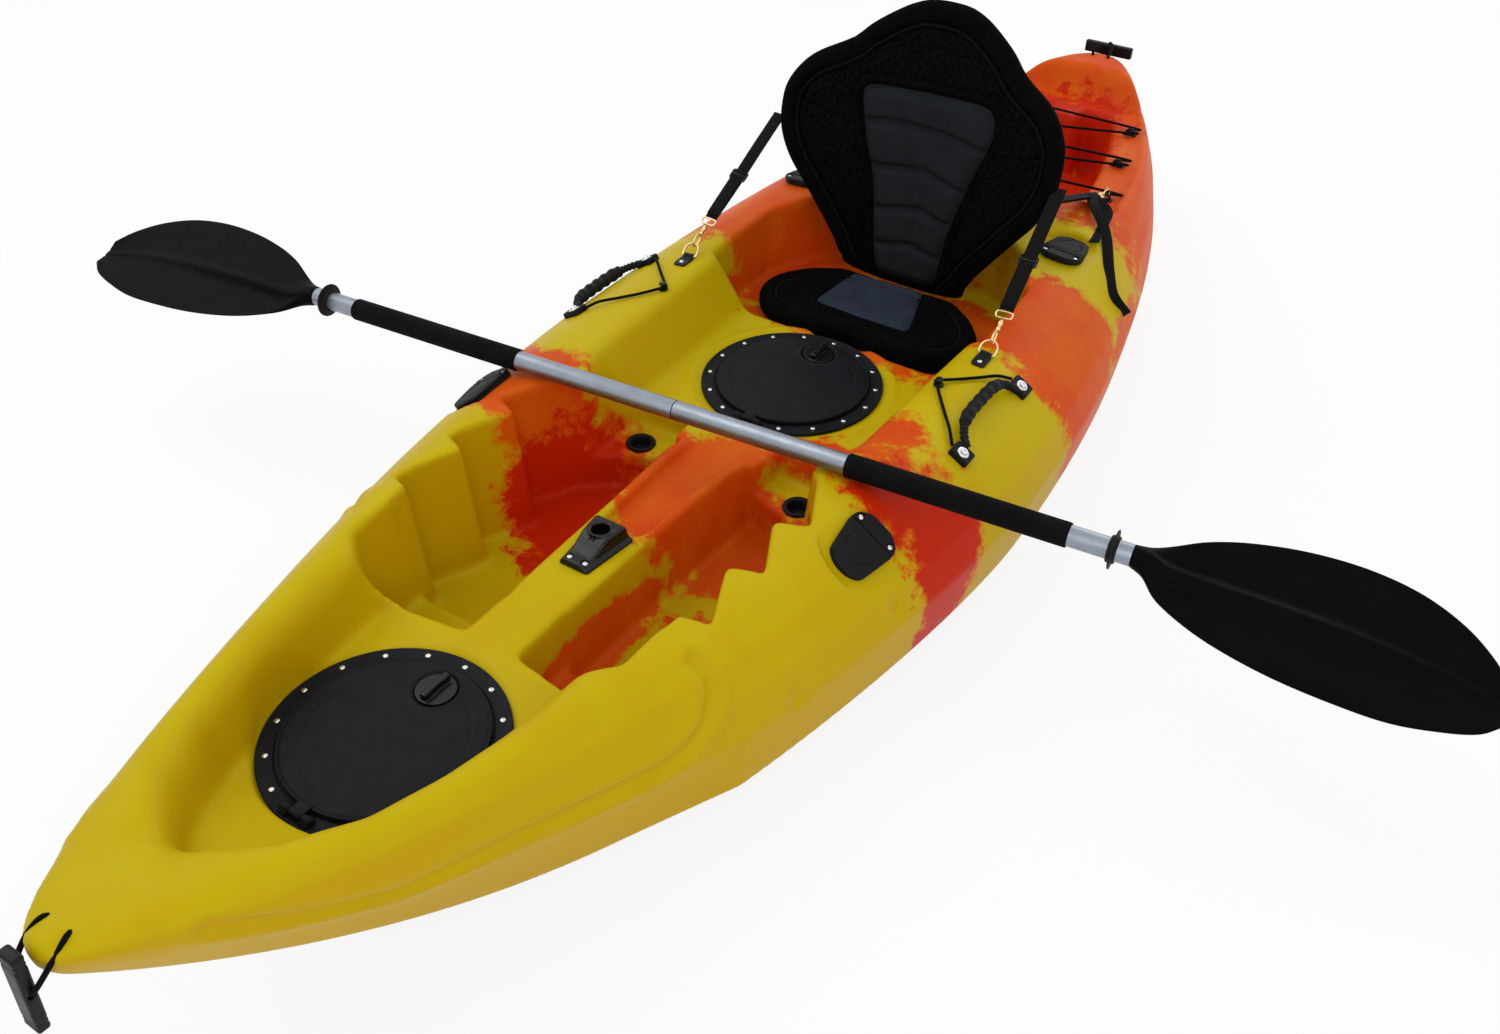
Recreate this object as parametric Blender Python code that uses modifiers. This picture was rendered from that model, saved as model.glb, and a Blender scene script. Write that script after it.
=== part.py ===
"""Sit-on-top fishing kayak with its seat and paddle, in metres, +Z up.

The bow points along -Y and port is +X. The origin is on the flat of the hull's bottom,
so z = 0 is the ground that the hull lies on.
"""
import math

import bmesh
import bpy
from mathutils import Matrix, Vector

# Fits
GAP = 0.0003
RUNNING_FIT = 0.0005

# Hull
BOW_LENGTH = 1.388
STERN_LENGTH = 1.356
BEAM = 0.896
WIDE_Y = -0.040
DEPTH = 0.278
CROWN = 0.012
BOW_RISE = 0.045
STERN_RISE = 0.061
RISE_POWER = 1.25
NOSE_RADIUS = 0.014
BOW_POWERS = (1.60, 0.74)
STERN_POWERS = (1.99, 0.64)
BOW_FLAT_END = -0.850
BOW_KEEL_RISE = 0.285
STERN_FLAT_END = 0.455
STERN_KEEL_RISE = 0.062
STERN_TURN_LENGTH = 0.096
STERN_TURN_SLOPE = 1.2
STERN_TURN_EASE = 0.030
VEE_START = -0.680
VEE = 0.67
VEE_TOP = 0.875
WALL = 0.005
HULL_STATIONS = 30
CAVITY_STATIONS = 20
CAVITY_BOW_END = -1.290
CAVITY_STERN_END = 1.280

# Half section from the deck's centre to the keel: share of half beam, of height, of crown
SECTION = (
    (0.00, 1.00, 1.0), (0.50, 1.00, 0.6), (0.74, 1.00, 0.0), (0.87, 0.875, 0.0),
    (0.955, 0.72, 0.0), (1.00, 0.54, 0.0), (0.985, 0.35, 0.0), (0.97, 0.19, 0.0),
    (0.80, 0.09, 0.0), (0.62, 0.03, 0.0), (0.32, 0.00, 0.0), (0.00, 0.00, 0.0),
)
CUT_TOP = DEPTH + 0.18

# Cockpit: the console is what the wells leave standing
CONSOLE_Z = DEPTH - 0.073
WELL_FLOOR = 0.080
WELL_STEP_FLOOR = 0.115
WELL_STEP_Y = -0.690
WELL_STEP_X = (0.0415, 0.2235)
WELL_STEP_LAP = 0.030
WELL_DRAFT = 0.06
WELL_OUTLINE = (
    (0.040, -0.765), (0.150, -0.780), (0.182, -0.797), (0.218, -0.765), (0.226, -0.660),
    (0.266, -0.645), (0.225, -0.550), (0.271, -0.530), (0.225, -0.437), (0.271, -0.415),
    (0.227, -0.322), (0.190, -0.293), (0.149, -0.256), (0.058, -0.235), (0.049, -0.400),
)
SCUPPER_X = 0.150
SCUPPER_Y = -0.235
SCUPPER_FLOOR = DEPTH - 0.138
SCUPPER_DRAFT = 0.10
SCUPPER_OUTLINE = (
    (0.070, -0.290), (0.200, -0.330), (0.200, -0.215), (0.170, -0.180), (0.082, -0.180),
)
TRAY_FLOOR = CONSOLE_Z - 0.020
TRAY_DRAFT = 0.05
TRAY_OUTLINE = (
    (-0.033, -0.485), (0.033, -0.485), (0.043, -0.225), (0.030, -0.200), (-0.030, -0.200),
    (-0.043, -0.225),
)

# Deck trough from the bow recess over the bulkhead to the seat: y, floor half width,
# floor height, half width at the deck
HATCH_FLOOR = DEPTH - 0.083
SEAT_DECK = DEPTH - 0.088
TROUGH = (
    (-1.222, 0.004, DEPTH - 0.016, 0.010), (-1.165, 0.050, DEPTH - 0.042, 0.075),
    (-1.090, 0.100, DEPTH - 0.073, 0.121),
    (-1.000, 0.135, HATCH_FLOOR, 0.155), (-0.920, 0.150, HATCH_FLOOR, 0.175),
    (-0.800, 0.160, HATCH_FLOOR + 0.002, 0.188), (-0.765, 0.130, CONSOLE_Z, 0.195),
    (-0.300, 0.130, CONSOLE_Z, 0.200), (-0.220, 0.180, SEAT_DECK, 0.235),
    (0.170, 0.190, SEAT_DECK, 0.248),
)
PAN_FLOOR = SEAT_DECK - 0.025
PAN_DRAFT = 0.04
PAN_OUTLINE = (
    (-0.262, 0.144), (0.262, 0.144), (0.262, 0.330), (0.210, 0.430), (0.150, 0.475),
    (-0.150, 0.475), (-0.210, 0.430), (-0.262, 0.330),
)
TANK_FLOOR = DEPTH - 0.128
TANK_DRAFT = 0.20
TANK_OUTLINE = (
    (-0.203, 0.740), (0.203, 0.740), (0.181, 0.900), (0.145, 1.050), (0.110, 1.155),
    (0.038, 1.170), (0.030, 1.105), (-0.030, 1.105), (-0.038, 1.170), (-0.110, 1.155),
    (-0.145, 1.050), (-0.181, 0.900),
)
# Shallow recess round the tank well: its outline where its walls are half way up
RECESS_FLOOR = DEPTH
RECESS_EDGE = 0.030
RECESS_DRAFT = 0.50
RECESS_OUTLINE = (
    (-0.292, 0.680), (0.292, 0.680), (0.262, 0.905), (0.215, 1.095), (0.150, 1.210),
    (0.055, 1.245), (-0.055, 1.245), (-0.150, 1.210), (-0.215, 1.095), (-0.262, 0.905),
)
FLOOR_FILLET = 0.008
POCKET_RIM = 0.040

# Hatches
FRONT_HATCH_Y = -0.950
CENTRE_HATCH_Y = -0.010
HATCH_SEAT_DEPTH = 0.001
HATCH_RING_RADIUS = 0.152
HATCH_RING_BORE = 0.1235
HATCH_FLANGE = 0.005
HATCH_NECK = 0.0065
HATCH_NECK_DEPTH = 0.020
HATCH_SEAT_MARGIN = 0.003
HATCH_SIDES = 24
LID_RADIUS = 0.1275
LID_TOP = 0.0125
LID_PLATE = 0.008
LID_PLUG_RADIUS = 0.1220
LID_PLUG_DEPTH = 0.008
LID_PLUG_WALL = 0.004
LID_GROOVE_RADIUS = 0.103
LID_GROOVE = 0.003
HINGE_RADIUS = 0.1395
HINGE_HEIGHT = 0.0102
KNUCKLE_RADIUS = 0.0055
LID_KNUCKLE_RADIUS = 0.0046
HINGE_PIN_RADIUS = 0.0020
HINGE_BORE_RADIUS = 0.0025
LID_KNUCKLE_WIDTH = 0.022
RING_KNUCKLE_WIDTH = 0.012
KNOB_OFFSET = 0.088
KNOB_RADIUS = 0.0265
KNOB_DISH_RADIUS = 0.030
KNOB_DISH_DEPTH = 0.004
KNOB_DISC = 0.003
KNOB_GRIP = (0.010, 0.046, 0.010)
KNOB_SHAFT_RADIUS = 0.0045
KNOB_LATCH = (0.012, 0.034, 0.003)
RIVET_COUNT = 15
RIVET_RADIUS = 0.0042
RIVET_HEIGHT = 0.0020

# Rod holders: place, and which way along Y the mouth leans
ROD_HOLDERS = {"front": (0.339, -0.391, -1.0), "rear": (0.266, 0.490, 1.0)}
ROD_PLATE_LEAN = 0.12
ROD_TUBE_OUT = 0.10
ROD_TUBE_LEAN = 0.34
ROD_SEAT_DEPTH = 0.006
ROD_SEAT_RADIUS = 0.062
ROD_PLATE_THICKNESS = 0.004
ROD_FLAP_THICKNESS = 0.006
ROD_PLATE_OUTLINE = (
    (-0.030, -0.038), (-0.012, -0.049), (0.012, -0.049), (0.030, -0.038), (0.040, 0.024),
    (0.037, 0.038), (0.020, 0.051), (-0.020, 0.051), (-0.037, 0.038), (-0.040, 0.024),
)
ROD_HINGE_Y = 0.024
ROD_TUBE_RADIUS = 0.0235
ROD_BORE_RADIUS = 0.0200
ROD_TUBE_LENGTH = 0.180
ROD_TUBE_BASE = 0.004
ROD_HOLE_CLEARANCE = 0.0015
ROD_FLAP_PLUG_RADIUS = 0.0140
ROD_FLAP_PLUG_DEPTH = 0.004
SCREW_HEAD_RADIUS = 0.0040
SCREW_HEAD_HEIGHT = 0.0020
ROD_SCREW_X = 0.030
ROD_SCREW_Y = 0.032

# Swivel rod base on the console
SWIVEL_Y = -0.545
SWIVEL_LENGTH = 0.096
SWIVEL_BOW_WIDTH = 0.050
SWIVEL_AFT_WIDTH = 0.072
SWIVEL_HEIGHT = 0.026
SWIVEL_TOP_SHARE = 0.62
SOCKET_RADIUS = 0.0130
SOCKET_DEPTH = 0.020
SOCKET_Y = 0.018
SWIVEL_SCREW_X = 0.015
SWIVEL_SCREW_Y = -0.036
SWIVEL_FOOT = 0.006

# Scupper plugs
SCUPPER_RADIUS = 0.020
PLUG_FLANGE_RADIUS = 0.0245
PLUG_FLANGE = 0.003
PLUG_LENGTH = 0.026
PLUG_DISH_RADIUS = 0.0165
PLUG_DISH_DEPTH = 0.018

# Carry handles
HANDLE_X = 0.359
HANDLE_Y = -0.024
HANDLE_SPACING = 0.208
HANDLE_PAD = (0.034, 0.030, 0.012)
HANDLE_SEAT_DEPTH = 0.0015
HANDLE_PIN_HEIGHT = 0.0085
HANDLE_PIN_RADIUS = 0.0028
HANDLE_PIN_LENGTH = 0.010
HANDLE_END_RADIUS = 0.0062
HANDLE_GRIP_RADIUS = 0.0100
HANDLE_RISE = 0.035
HANDLE_BORE_RADIUS = 0.0033
HANDLE_END_LENGTH = 0.016
BOLT_RADIUS = 0.0085
BOLT_HEIGHT = 0.0035
HANDLE_REST = {1: -75.0, -1: -80.0}

# Paddle keepers: a shock cord from each handle to a small hook on the deck
KEEPER_X = 0.262
KEEPER_Y = -0.010
KEEPER_BASE_RADIUS = 0.0085
KEEPER_BASE = 0.0025
KEEPER_POST_RADIUS = 0.0030
KEEPER_HEAD_RADIUS = 0.0070
KEEPER_HEAD = 0.0025
SHOCK_CORD_RADIUS = 0.0025
KEEPER_LEAD = (0.15, 0.3, 0.5, 0.75)
KEEPER_LIFT = 0.0050

# D-rings and snap hooks
TAB_X = 0.288
TAB_Y = 0.088
TAB_SIZE = (0.024, 0.034, 0.003)
TAB_BARREL_RADIUS = 0.0045
TAB_BARREL_BORE = 0.0025
TAB_BARREL_WIDTH = 0.018
D_WIRE = 0.0018
D_HALF_WIDTH = 0.014
D_LENGTH = 0.024
D_ANGLE = 38.0
HOOK_WIRE = 0.0016
HOOK_LOOP = (0.0085, 0.026)
HOOK_BODY_RADIUS = 0.0038
HOOK_BODY = 0.022
HOOK_EYE = (0.015, 0.012)
HOOK_IN_EYE = 0.0035
STRAP_WIDTH = 0.024
STRAP_THICKNESS = 0.002
FRONT_STRAP_HEIGHT = 0.262
REAR_STRAP_HEIGHT = 0.190
REAR_STRAP_X = 0.185
REAR_STRAP_STANDOFF = 0.0030

# Tank well pad eyes and their shock cord
PAD_EYES = ((0.170, 1.083), (0.203, 0.920), (0.239, 0.759))
EYE_BASE = (0.028, 0.014, 0.0025)
EYE_WIRE = 0.0020
EYE_HALF_WIDTH = 0.0085
EYE_HEIGHT = 0.012
EYE_CORD_Z = 0.0068

# Toggles
TOGGLE_CORD_RADIUS = 0.0030
TOGGLE_HOLE_RADIUS = 0.0040
TOGGLE_BAR = (0.025, 0.014, 0.110)
TOGGLE_BEVEL = 0.003
TIP_HOLE_INSET = {"bow": 0.040, "stern": 0.038}
TIP_HOLE_DROP = {"bow": 0.0155, "stern": 0.0205}
TOGGLE_STANDOFF = {"bow": 0.014, "stern": 0.020}
TOGGLE_RISE = {"bow": -0.028, "stern": 0.022}
TOGGLE_LEAD = {"bow": 0.0, "stern": 0.006}

# Seat: half widths of the back by height, and how far its face stands forward
PAD_BOW_Y = 0.155
PAD_AFT_Y = 0.372
PAD_OUTLINE = (
    (0.000, 0.172), (0.070, 0.160), (0.125, 0.155), (0.175, 0.172), (0.205, 0.205),
    (0.214, 0.245), (0.203, 0.285), (0.172, 0.325), (0.138, 0.355), (0.118, PAD_AFT_Y),
)
PAD_RINGS = (
    (0.955, 0.000), (1.00, 0.011), (1.00, 0.024), (0.955, 0.033), (0.86, 0.0375),
    (0.80, 0.0335), (0.75, 0.0370), (0.45, 0.0400), (0.12, 0.0400),
)
BACK_PROFILE = (
    (0.000, 0.113), (0.029, 0.130), (0.057, 0.146), (0.100, 0.177), (0.143, 0.209),
    (0.191, 0.244), (0.239, 0.265), (0.286, 0.270), (0.329, 0.262), (0.372, 0.228),
    (0.406, 0.165), (0.434, 0.133), (0.458, 0.098), (0.475, 0.067), (0.486, 0.030),
)
BACK_LEAN = (0.064, 0.032)
BACK_LEAN_AT = 0.500
BACK_THICKNESS = 0.030
BACK_CROWN = 0.012
BACK_EDGE = 0.012
BACK_WRAP = 0.0445
BACK_WRAP_AT = 0.260
BACK_FOLD_SLOPE = 0.25
BACK_SKIRT = 0.010
PANEL_BOTTOM = 0.040
PANEL_TOP = 0.340
PANEL_CHANNELS = 4
CHANNEL_DEPTH = 0.005
CHANNEL_WIDTH = 0.008
PANEL_SHARE = 0.52

# Paddle
PADDLE_JOINT = (-0.017, -0.320)
PADDLE_HEADING = 5.26
PADDLE_REST_X = 0.220
PADDLE_LIFT = 0.0012
SHAFT_RADIUS = 0.0150
SHAFT_BORE = 0.0132
FERRULE_LENGTH = 0.070
FERRULE_CLEARANCE = 0.0007
FERRULE_WALL = 0.0015
FOAM_RADIUS = 0.0175
SHAFT_END = 0.680
DRIP_AT = SHAFT_END - 0.025
FOAM_LENGTH = 0.320
FOAM_END = DRIP_AT - 0.058
FOAM_START = FOAM_END - FOAM_LENGTH
DRIP_RADIUS = 0.0270
DRIP_WIDTH = 0.010
BLADE_ROLL = 20.0
BLADE_DROOP = 0.006
BLADE_SPIGOT = 0.045
BLADE_EDGE = 0.0016

# Blade by reach from the shaft: half width, offset of its middle, half thickness at the spine
BLADE_STATIONS = (
    (0.000, 0.0150, 0.0000, 0.0150), (0.020, 0.0225, -0.0035, 0.0145),
    (0.045, 0.0425, -0.0115, 0.0130), (0.085, 0.0645, -0.0115, 0.0115),
    (0.135, 0.0815, -0.0115, 0.0100), (0.200, 0.0940, -0.0120, 0.0085),
    (0.270, 0.0980, -0.0140, 0.0070), (0.335, 0.0925, -0.0195, 0.0055),
    (0.390, 0.0745, -0.0265, 0.0040), (0.430, 0.0510, -0.0360, 0.0026),
    (0.452, 0.0260, -0.0420, 0.0020),
)

PAINTS = {
    "hull": ((0.68, 0.38, 0.01), 0.45, 0.0),
    "black_plastic": ((0.012, 0.012, 0.013), 0.45, 0.0),
    "rubber": ((0.014, 0.015, 0.018), 0.60, 0.0),
    "fabric": ((0.010, 0.010, 0.011), 0.90, 0.0),
    "cord": ((0.008, 0.008, 0.008), 0.80, 0.0),
    "foam": ((0.010, 0.010, 0.011), 0.85, 0.0),
    "aluminium": ((0.62, 0.65, 0.68), 0.30, 1.0),
    "steel": ((0.60, 0.60, 0.60), 0.25, 1.0),
    "brass": ((0.80, 0.58, 0.28), 0.28, 1.0),
}
IDENTITY = Matrix.Identity(4)


def clear_scene():
    """Remove the objects of the opened scene and make the two collections."""
    for old in list(bpy.data.objects):
        bpy.data.objects.remove(old, do_unlink=True)
    made = []
    for name in ("fishing_kayak", "cutters"):
        collection = bpy.data.collections.new(name)
        bpy.context.scene.collection.children.link(collection)
        made.append(collection)
    return made


PARTS, CUTTERS = clear_scene()


def paint(name):
    """Material of that name, made on first use."""
    if name in bpy.data.materials:
        return bpy.data.materials[name]
    colour, roughness, metallic = PAINTS[name]
    made = bpy.data.materials.new(name)
    made.use_nodes = True
    shader = made.node_tree.nodes["Principled BSDF"]
    shader.inputs["Base Color"].default_value = (*colour, 1.0)
    shader.inputs["Roughness"].default_value = roughness
    shader.inputs["Metallic"].default_value = metallic
    return made


def add(name, data, finish, at=IDENTITY, parent=None):
    """Object of some mesh or curve data, placed in its parent's frame."""
    obj = bpy.data.objects.new(name, data)
    if data is not None:
        data.materials.append(paint(finish))
    PARTS.objects.link(obj)
    obj.parent = parent
    obj.matrix_basis = at
    return obj


def guide(name, at, parent=None):
    """Empty that carries a set of pieces."""
    obj = bpy.data.objects.new(name, None)
    PARTS.objects.link(obj)
    obj.parent = parent
    obj.matrix_basis = at
    return obj


def frame_at(origin, up, forward):
    """Matrix with its Z along up and its Y as near to forward as that allows."""
    z_axis = Vector(up).normalized()
    y_axis = Vector(forward)
    y_axis = (y_axis - z_axis * y_axis.dot(z_axis)).normalized()
    x_axis = y_axis.cross(z_axis)
    rotation = Matrix((x_axis, y_axis, z_axis)).transposed()
    return Matrix.Translation(origin) @ rotation.to_4x4()


def turn_about(axis, degrees):
    """Rotation matrix about a named axis."""
    return Matrix.Rotation(math.radians(degrees), 4, axis)


def shift(x, y, z):
    """Translation matrix."""
    return Matrix.Translation((x, y, z))


def from_bmesh(name, mesh, finish, at, parent, smooth=True):
    """Object from a bmesh, with round faces shaded smooth."""
    data = bpy.data.meshes.new(name)
    mesh.to_mesh(data)
    mesh.free()
    if smooth:
        data.shade_smooth()
        data.set_sharp_from_angle(angle=math.radians(35))
    return add(name, data, finish, at, parent)


def box(name, size, finish, at=IDENTITY, parent=None):
    """Block centred on its own origin."""
    mesh = bmesh.new()
    bmesh.ops.create_cube(mesh, size=1.0)
    bmesh.ops.scale(mesh, verts=mesh.verts, vec=size)
    return from_bmesh(name, mesh, finish, at, parent, smooth=False)


def rod(name, radius, low, high, finish, at=IDENTITY, parent=None, sides=16, top=None):
    """Cylinder, or cone, along Z from low to high."""
    mesh = bmesh.new()
    top_radius = radius if top is None else top
    bmesh.ops.create_cone(mesh, cap_ends=True, segments=sides, radius1=radius,
                          radius2=top_radius, depth=high - low)
    bmesh.ops.translate(mesh, verts=mesh.verts, vec=(0.0, 0.0, (low + high) / 2))
    return from_bmesh(name, mesh, finish, at, parent)


def turned(name, profile, finish, at=IDENTITY, parent=None, sides=20, closed=True):
    """Profile of (radius, height) points, down its outer side, turned about Z."""
    count = len(profile)
    edges = [(i, i + 1) for i in range(count - 1)]
    if closed:
        edges.append((count - 1, 0))
    data = bpy.data.meshes.new(name)
    data.from_pydata([(radius, 0.0, height) for radius, height in profile], edges, [])
    obj = add(name, data, finish, at, parent)
    screw = obj.modifiers.new("Turn", "SCREW")
    screw.angle = 2 * math.pi
    screw.steps = sides
    screw.render_steps = sides
    screw.use_merge_vertices = True
    screw.merge_threshold = 0.00001
    screw.use_smooth_shade = True
    return obj


def loft(name, rings, finish, at=IDENTITY, parent=None, closed=True):
    """Skin over rings of points; ring direction crossed with the run points outward."""
    mesh = bmesh.new()
    rows = [[mesh.verts.new(point) for point in ring] for ring in rings]
    size = len(rings[0])
    last = size if closed else size - 1
    for row, after in zip(rows, rows[1:]):
        for i in range(last):
            j = (i + 1) % size
            mesh.faces.new((row[i], row[j], after[j], after[i]))
    mesh.faces.new(list(reversed(rows[0])))
    mesh.faces.new(rows[-1])
    return from_bmesh(name, mesh, finish, at, parent)


def tube(name, points, radius, finish, at=IDENTITY, parent=None, cyclic=False, detail=2,
         radii=None):
    """Round wire or cord along points, closed at its ends."""
    data = bpy.data.curves.new(name, "CURVE")
    data.dimensions = "3D"
    data.bevel_depth = radius
    data.bevel_resolution = detail
    data.use_fill_caps = not cyclic
    spline = data.splines.new("POLY")
    spline.points.add(len(points) - 1)
    spline.use_cyclic_u = cyclic
    spline.use_smooth = True
    for index, point in enumerate(points):
        spline.points[index].co = (*point, 1.0)
        if radii:
            spline.points[index].radius = radii[index]
    return add(name, data, finish, at, parent)


def slab(name, outline, thickness, finish, at=IDENTITY, parent=None):
    """Flat outline with a thickness above its own plane."""
    data = bpy.data.curves.new(name, "CURVE")
    data.dimensions = "2D"
    data.fill_mode = "BOTH"
    data.extrude = thickness / 2
    spline = data.splines.new("POLY")
    spline.points.add(len(outline) - 1)
    spline.use_cyclic_u = True
    for index, (x, y) in enumerate(outline):
        spline.points[index].co = (x, y, 0.0, 1.0)
    return add(name, data, finish, at @ shift(0.0, 0.0, thickness / 2), parent)


def as_mesh(obj):
    """Mesh object in place of a curve, so that it can be cut or joined."""
    bpy.context.view_layer.update()
    seen = obj.evaluated_get(bpy.context.evaluated_depsgraph_get())
    data = bpy.data.meshes.new_from_object(seen)
    mesh = bmesh.new()
    mesh.from_mesh(data)
    bmesh.ops.remove_doubles(mesh, verts=mesh.verts, dist=0.00001)
    mesh.to_mesh(data)
    mesh.free()
    name = obj.name
    parent = obj.parent
    world = obj.matrix_world.copy()
    bpy.data.objects.remove(obj, do_unlink=True)
    made = bpy.data.objects.new(name, data)
    PARTS.objects.link(made)
    made.parent = parent
    made.matrix_world = world
    return made


def combine(target, tool, operation):
    """Boolean of a tool with a target; the tool is kept as a hidden guide."""
    modifier = target.modifiers.new(tool.name, "BOOLEAN")
    modifier.operation = operation
    modifier.solver = "EXACT"
    modifier.object = tool
    PARTS.objects.unlink(tool)
    CUTTERS.objects.link(tool)
    tool.hide_render = True
    tool.display_type = "WIRE"
    return target


def cut(target, *tools):
    """Take tools away from a target."""
    for tool in tools:
        combine(target, tool, "DIFFERENCE")
    return target


def join(target, *tools):
    """Fuse tools to a target."""
    for tool in tools:
        combine(target, tool, "UNION")
    return target


def side_name(side):
    """Port is +X and starboard is -X."""
    return "port" if side > 0 else "starboard"


def bevel(obj, width, segments=1):
    """Rounded or chamfered edges."""
    modifier = obj.modifiers.new("Edges", "BEVEL")
    modifier.width = width
    modifier.segments = segments
    modifier.limit_method = "ANGLE"
    return obj


# Hull lines
def half_beam(y):
    """Half width of the hull at a station."""
    if y < WIDE_Y:
        share = (WIDE_Y - y) / (WIDE_Y + BOW_LENGTH)
        power, fullness = BOW_POWERS
    else:
        share = (y - WIDE_Y) / (STERN_LENGTH - WIDE_Y)
        power, fullness = STERN_POWERS
    shape = max(0.0, 1.0 - share ** power) ** fullness
    return NOSE_RADIUS + (BEAM / 2 - NOSE_RADIUS) * shape


def keel_height(y):
    """Height of the keel line: flat amidships, rising to both stems."""
    bow = max(0.0, (BOW_FLAT_END - y) / (BOW_LENGTH + BOW_FLAT_END))
    stern = max(0.0, (y - STERN_FLAT_END) / (STERN_LENGTH - STERN_FLAT_END))
    turn = max(0.0, y - STERN_LENGTH + STERN_TURN_LENGTH)
    lift = STERN_TURN_SLOPE * turn ** 2 / (turn + STERN_TURN_EASE)
    return BOW_KEEL_RISE * bow ** 2 + STERN_KEEL_RISE * stern ** 2 + lift


def deck_edge(y):
    """Height of the deck's edge: level amidships, with a rise to both tips."""
    if y < WIDE_Y:
        share = (WIDE_Y - y) / (WIDE_Y + BOW_LENGTH)
        return DEPTH + BOW_RISE * share ** RISE_POWER
    share = (y - WIDE_Y) / (STERN_LENGTH - WIDE_Y)
    return DEPTH + STERN_RISE * share ** RISE_POWER


def half_section(y, inset=0.0):
    """Points (x, z) from the deck's centre round the side to the keel."""
    wide = half_beam(y) - inset
    low = keel_height(y) + inset
    height = deck_edge(y) - inset - low
    rise = CROWN * wide / (BEAM / 2)
    vee = VEE * max(0.0, (VEE_START - y) / (BOW_LENGTH + VEE_START))
    return [(wide * across * (1.0 - vee * max(0.0, 1.0 - up / VEE_TOP)),
             low + height * up + rise * crown) for across, up, crown in SECTION]


def deck_height(x, y):
    """Height of the outer deck surface over a point."""
    points = half_section(y)
    for (x0, z0), (x1, z1) in zip(points, points[1:]):
        if x0 <= abs(x) <= x1:
            return z0 + (z1 - z0) * (abs(x) - x0) / (x1 - x0)
    return points[0][1]


def deck_normal(x, y):
    """Direction square to the deck."""
    step = 0.002
    across = (deck_height(abs(x) + step, y) - deck_height(abs(x) - step, y)) / (2 * step)
    along = (deck_height(x, y + step) - deck_height(x, y - step)) / (2 * step)
    return Vector((math.copysign(-across, x), -along, 1.0)).normalized()


def stations(first, last, count):
    """Stations along the hull, closer together at the ends."""
    half = (last - first) / 2
    return [first + half * (1 - math.cos(math.pi * i / count)) for i in range(count + 1)]


def mirrored_loft(name, rings, finish):
    """Port half of a long body, open at x = 0, and its mirror."""
    mesh = bmesh.new()
    rows = [[mesh.verts.new(point) for point in ring] for ring in rings]
    for row, after in zip(rows, rows[1:]):
        for i in range(len(row) - 1):
            mesh.faces.new((row[i], row[i + 1], after[i + 1], after[i]))
    mesh.faces.new(list(reversed(rows[0])))
    mesh.faces.new(rows[-1])
    obj = from_bmesh(name, mesh, finish, IDENTITY, None)
    mirror = obj.modifiers.new("Port and starboard", "MIRROR")
    mirror.use_axis = (True, False, False)
    mirror.use_clip = True
    mirror.merge_threshold = 0.00001
    return obj


def hull_body(name, first, last, count, inset):
    """Outer or inner body of the hull from its half sections."""
    rings = [[(x, y, z) for x, z in half_section(y, inset)] for y in stations(first, last, count)]
    return mirrored_loft(name, rings, "hull")


def deck_trough(name, grow=0.0):
    """Long opening over the bow recess, the console and the seat deck."""
    rings = []
    for index, (y, floor_half, floor, edge_half) in enumerate(TROUGH):
        if index == 0:
            y -= grow
        if index == len(TROUGH) - 1:
            y += grow
        flare = (edge_half - floor_half) / (DEPTH - floor)
        top_half = floor_half + flare * (CUT_TOP - floor)
        rings.append([
            (0.0, y, CUT_TOP), (top_half + grow, y, CUT_TOP),
            (floor_half + grow, y, floor - grow), (0.0, y, floor - grow),
        ])
    return mirrored_loft(name, rings, "hull")


def offset_outline(points, distance):
    """Anticlockwise outline moved outward, with mitred corners."""
    moved = []
    count = len(points)
    for index, (x, y) in enumerate(points):
        before = Vector((x, y)) - Vector(points[index - 1])
        after = Vector(points[(index + 1) % count]) - Vector((x, y))
        first = Vector((before.y, -before.x)).normalized()
        second = Vector((after.y, -after.x)).normalized()
        mitre = (first + second) / (1.0 + first.dot(second))
        moved.append((x + mitre.x * distance, y + mitre.y * distance))
    return moved


def pocket(name, outline, edge_z, floor, draft, grow=0.0, side=1):
    """Pocket with drafted walls and a filleted floor, open at the top."""
    outward = grow * math.sqrt(1 + draft ** 2)
    level = floor - grow
    fillet = min(FLOOR_FILLET, (edge_z - floor) / 3)
    rim = edge_z + POCKET_RIM
    steps = (
        (level, outward - draft * (edge_z - level) - fillet),
        (level + fillet, outward - draft * (edge_z - level - fillet)),
        (rim, outward + draft * POCKET_RIM), (CUT_TOP, outward + draft * POCKET_RIM),
    )
    rings = [[(x, y, z) for x, y in offset_outline(outline, away)] for z, away in steps]
    if side < 0:
        rings = [[(-x, y, z) for x, y, z in reversed(ring)] for ring in rings]
    return loft(name, rings, "hull")


def well_outlines():
    """Deep part of a foot well, and its shallow front step."""
    front = [point for point in WELL_OUTLINE if point[1] < WELL_STEP_Y]
    rear = [point for point in WELL_OUTLINE if point[1] >= WELL_STEP_Y]
    inner_x, outer_x = WELL_STEP_X
    lap_y = WELL_STEP_Y + WELL_STEP_LAP
    shallow = front + [(outer_x, lap_y), (inner_x, lap_y)]
    deep = [(inner_x, WELL_STEP_Y), (outer_x, WELL_STEP_Y)] + rear
    return shallow, deep


def hatch_seat_z(y):
    """Level that a hatch ring sits on."""
    floor = HATCH_FLOOR if y == FRONT_HATCH_Y else SEAT_DECK
    return floor - HATCH_SEAT_DEPTH


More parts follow.
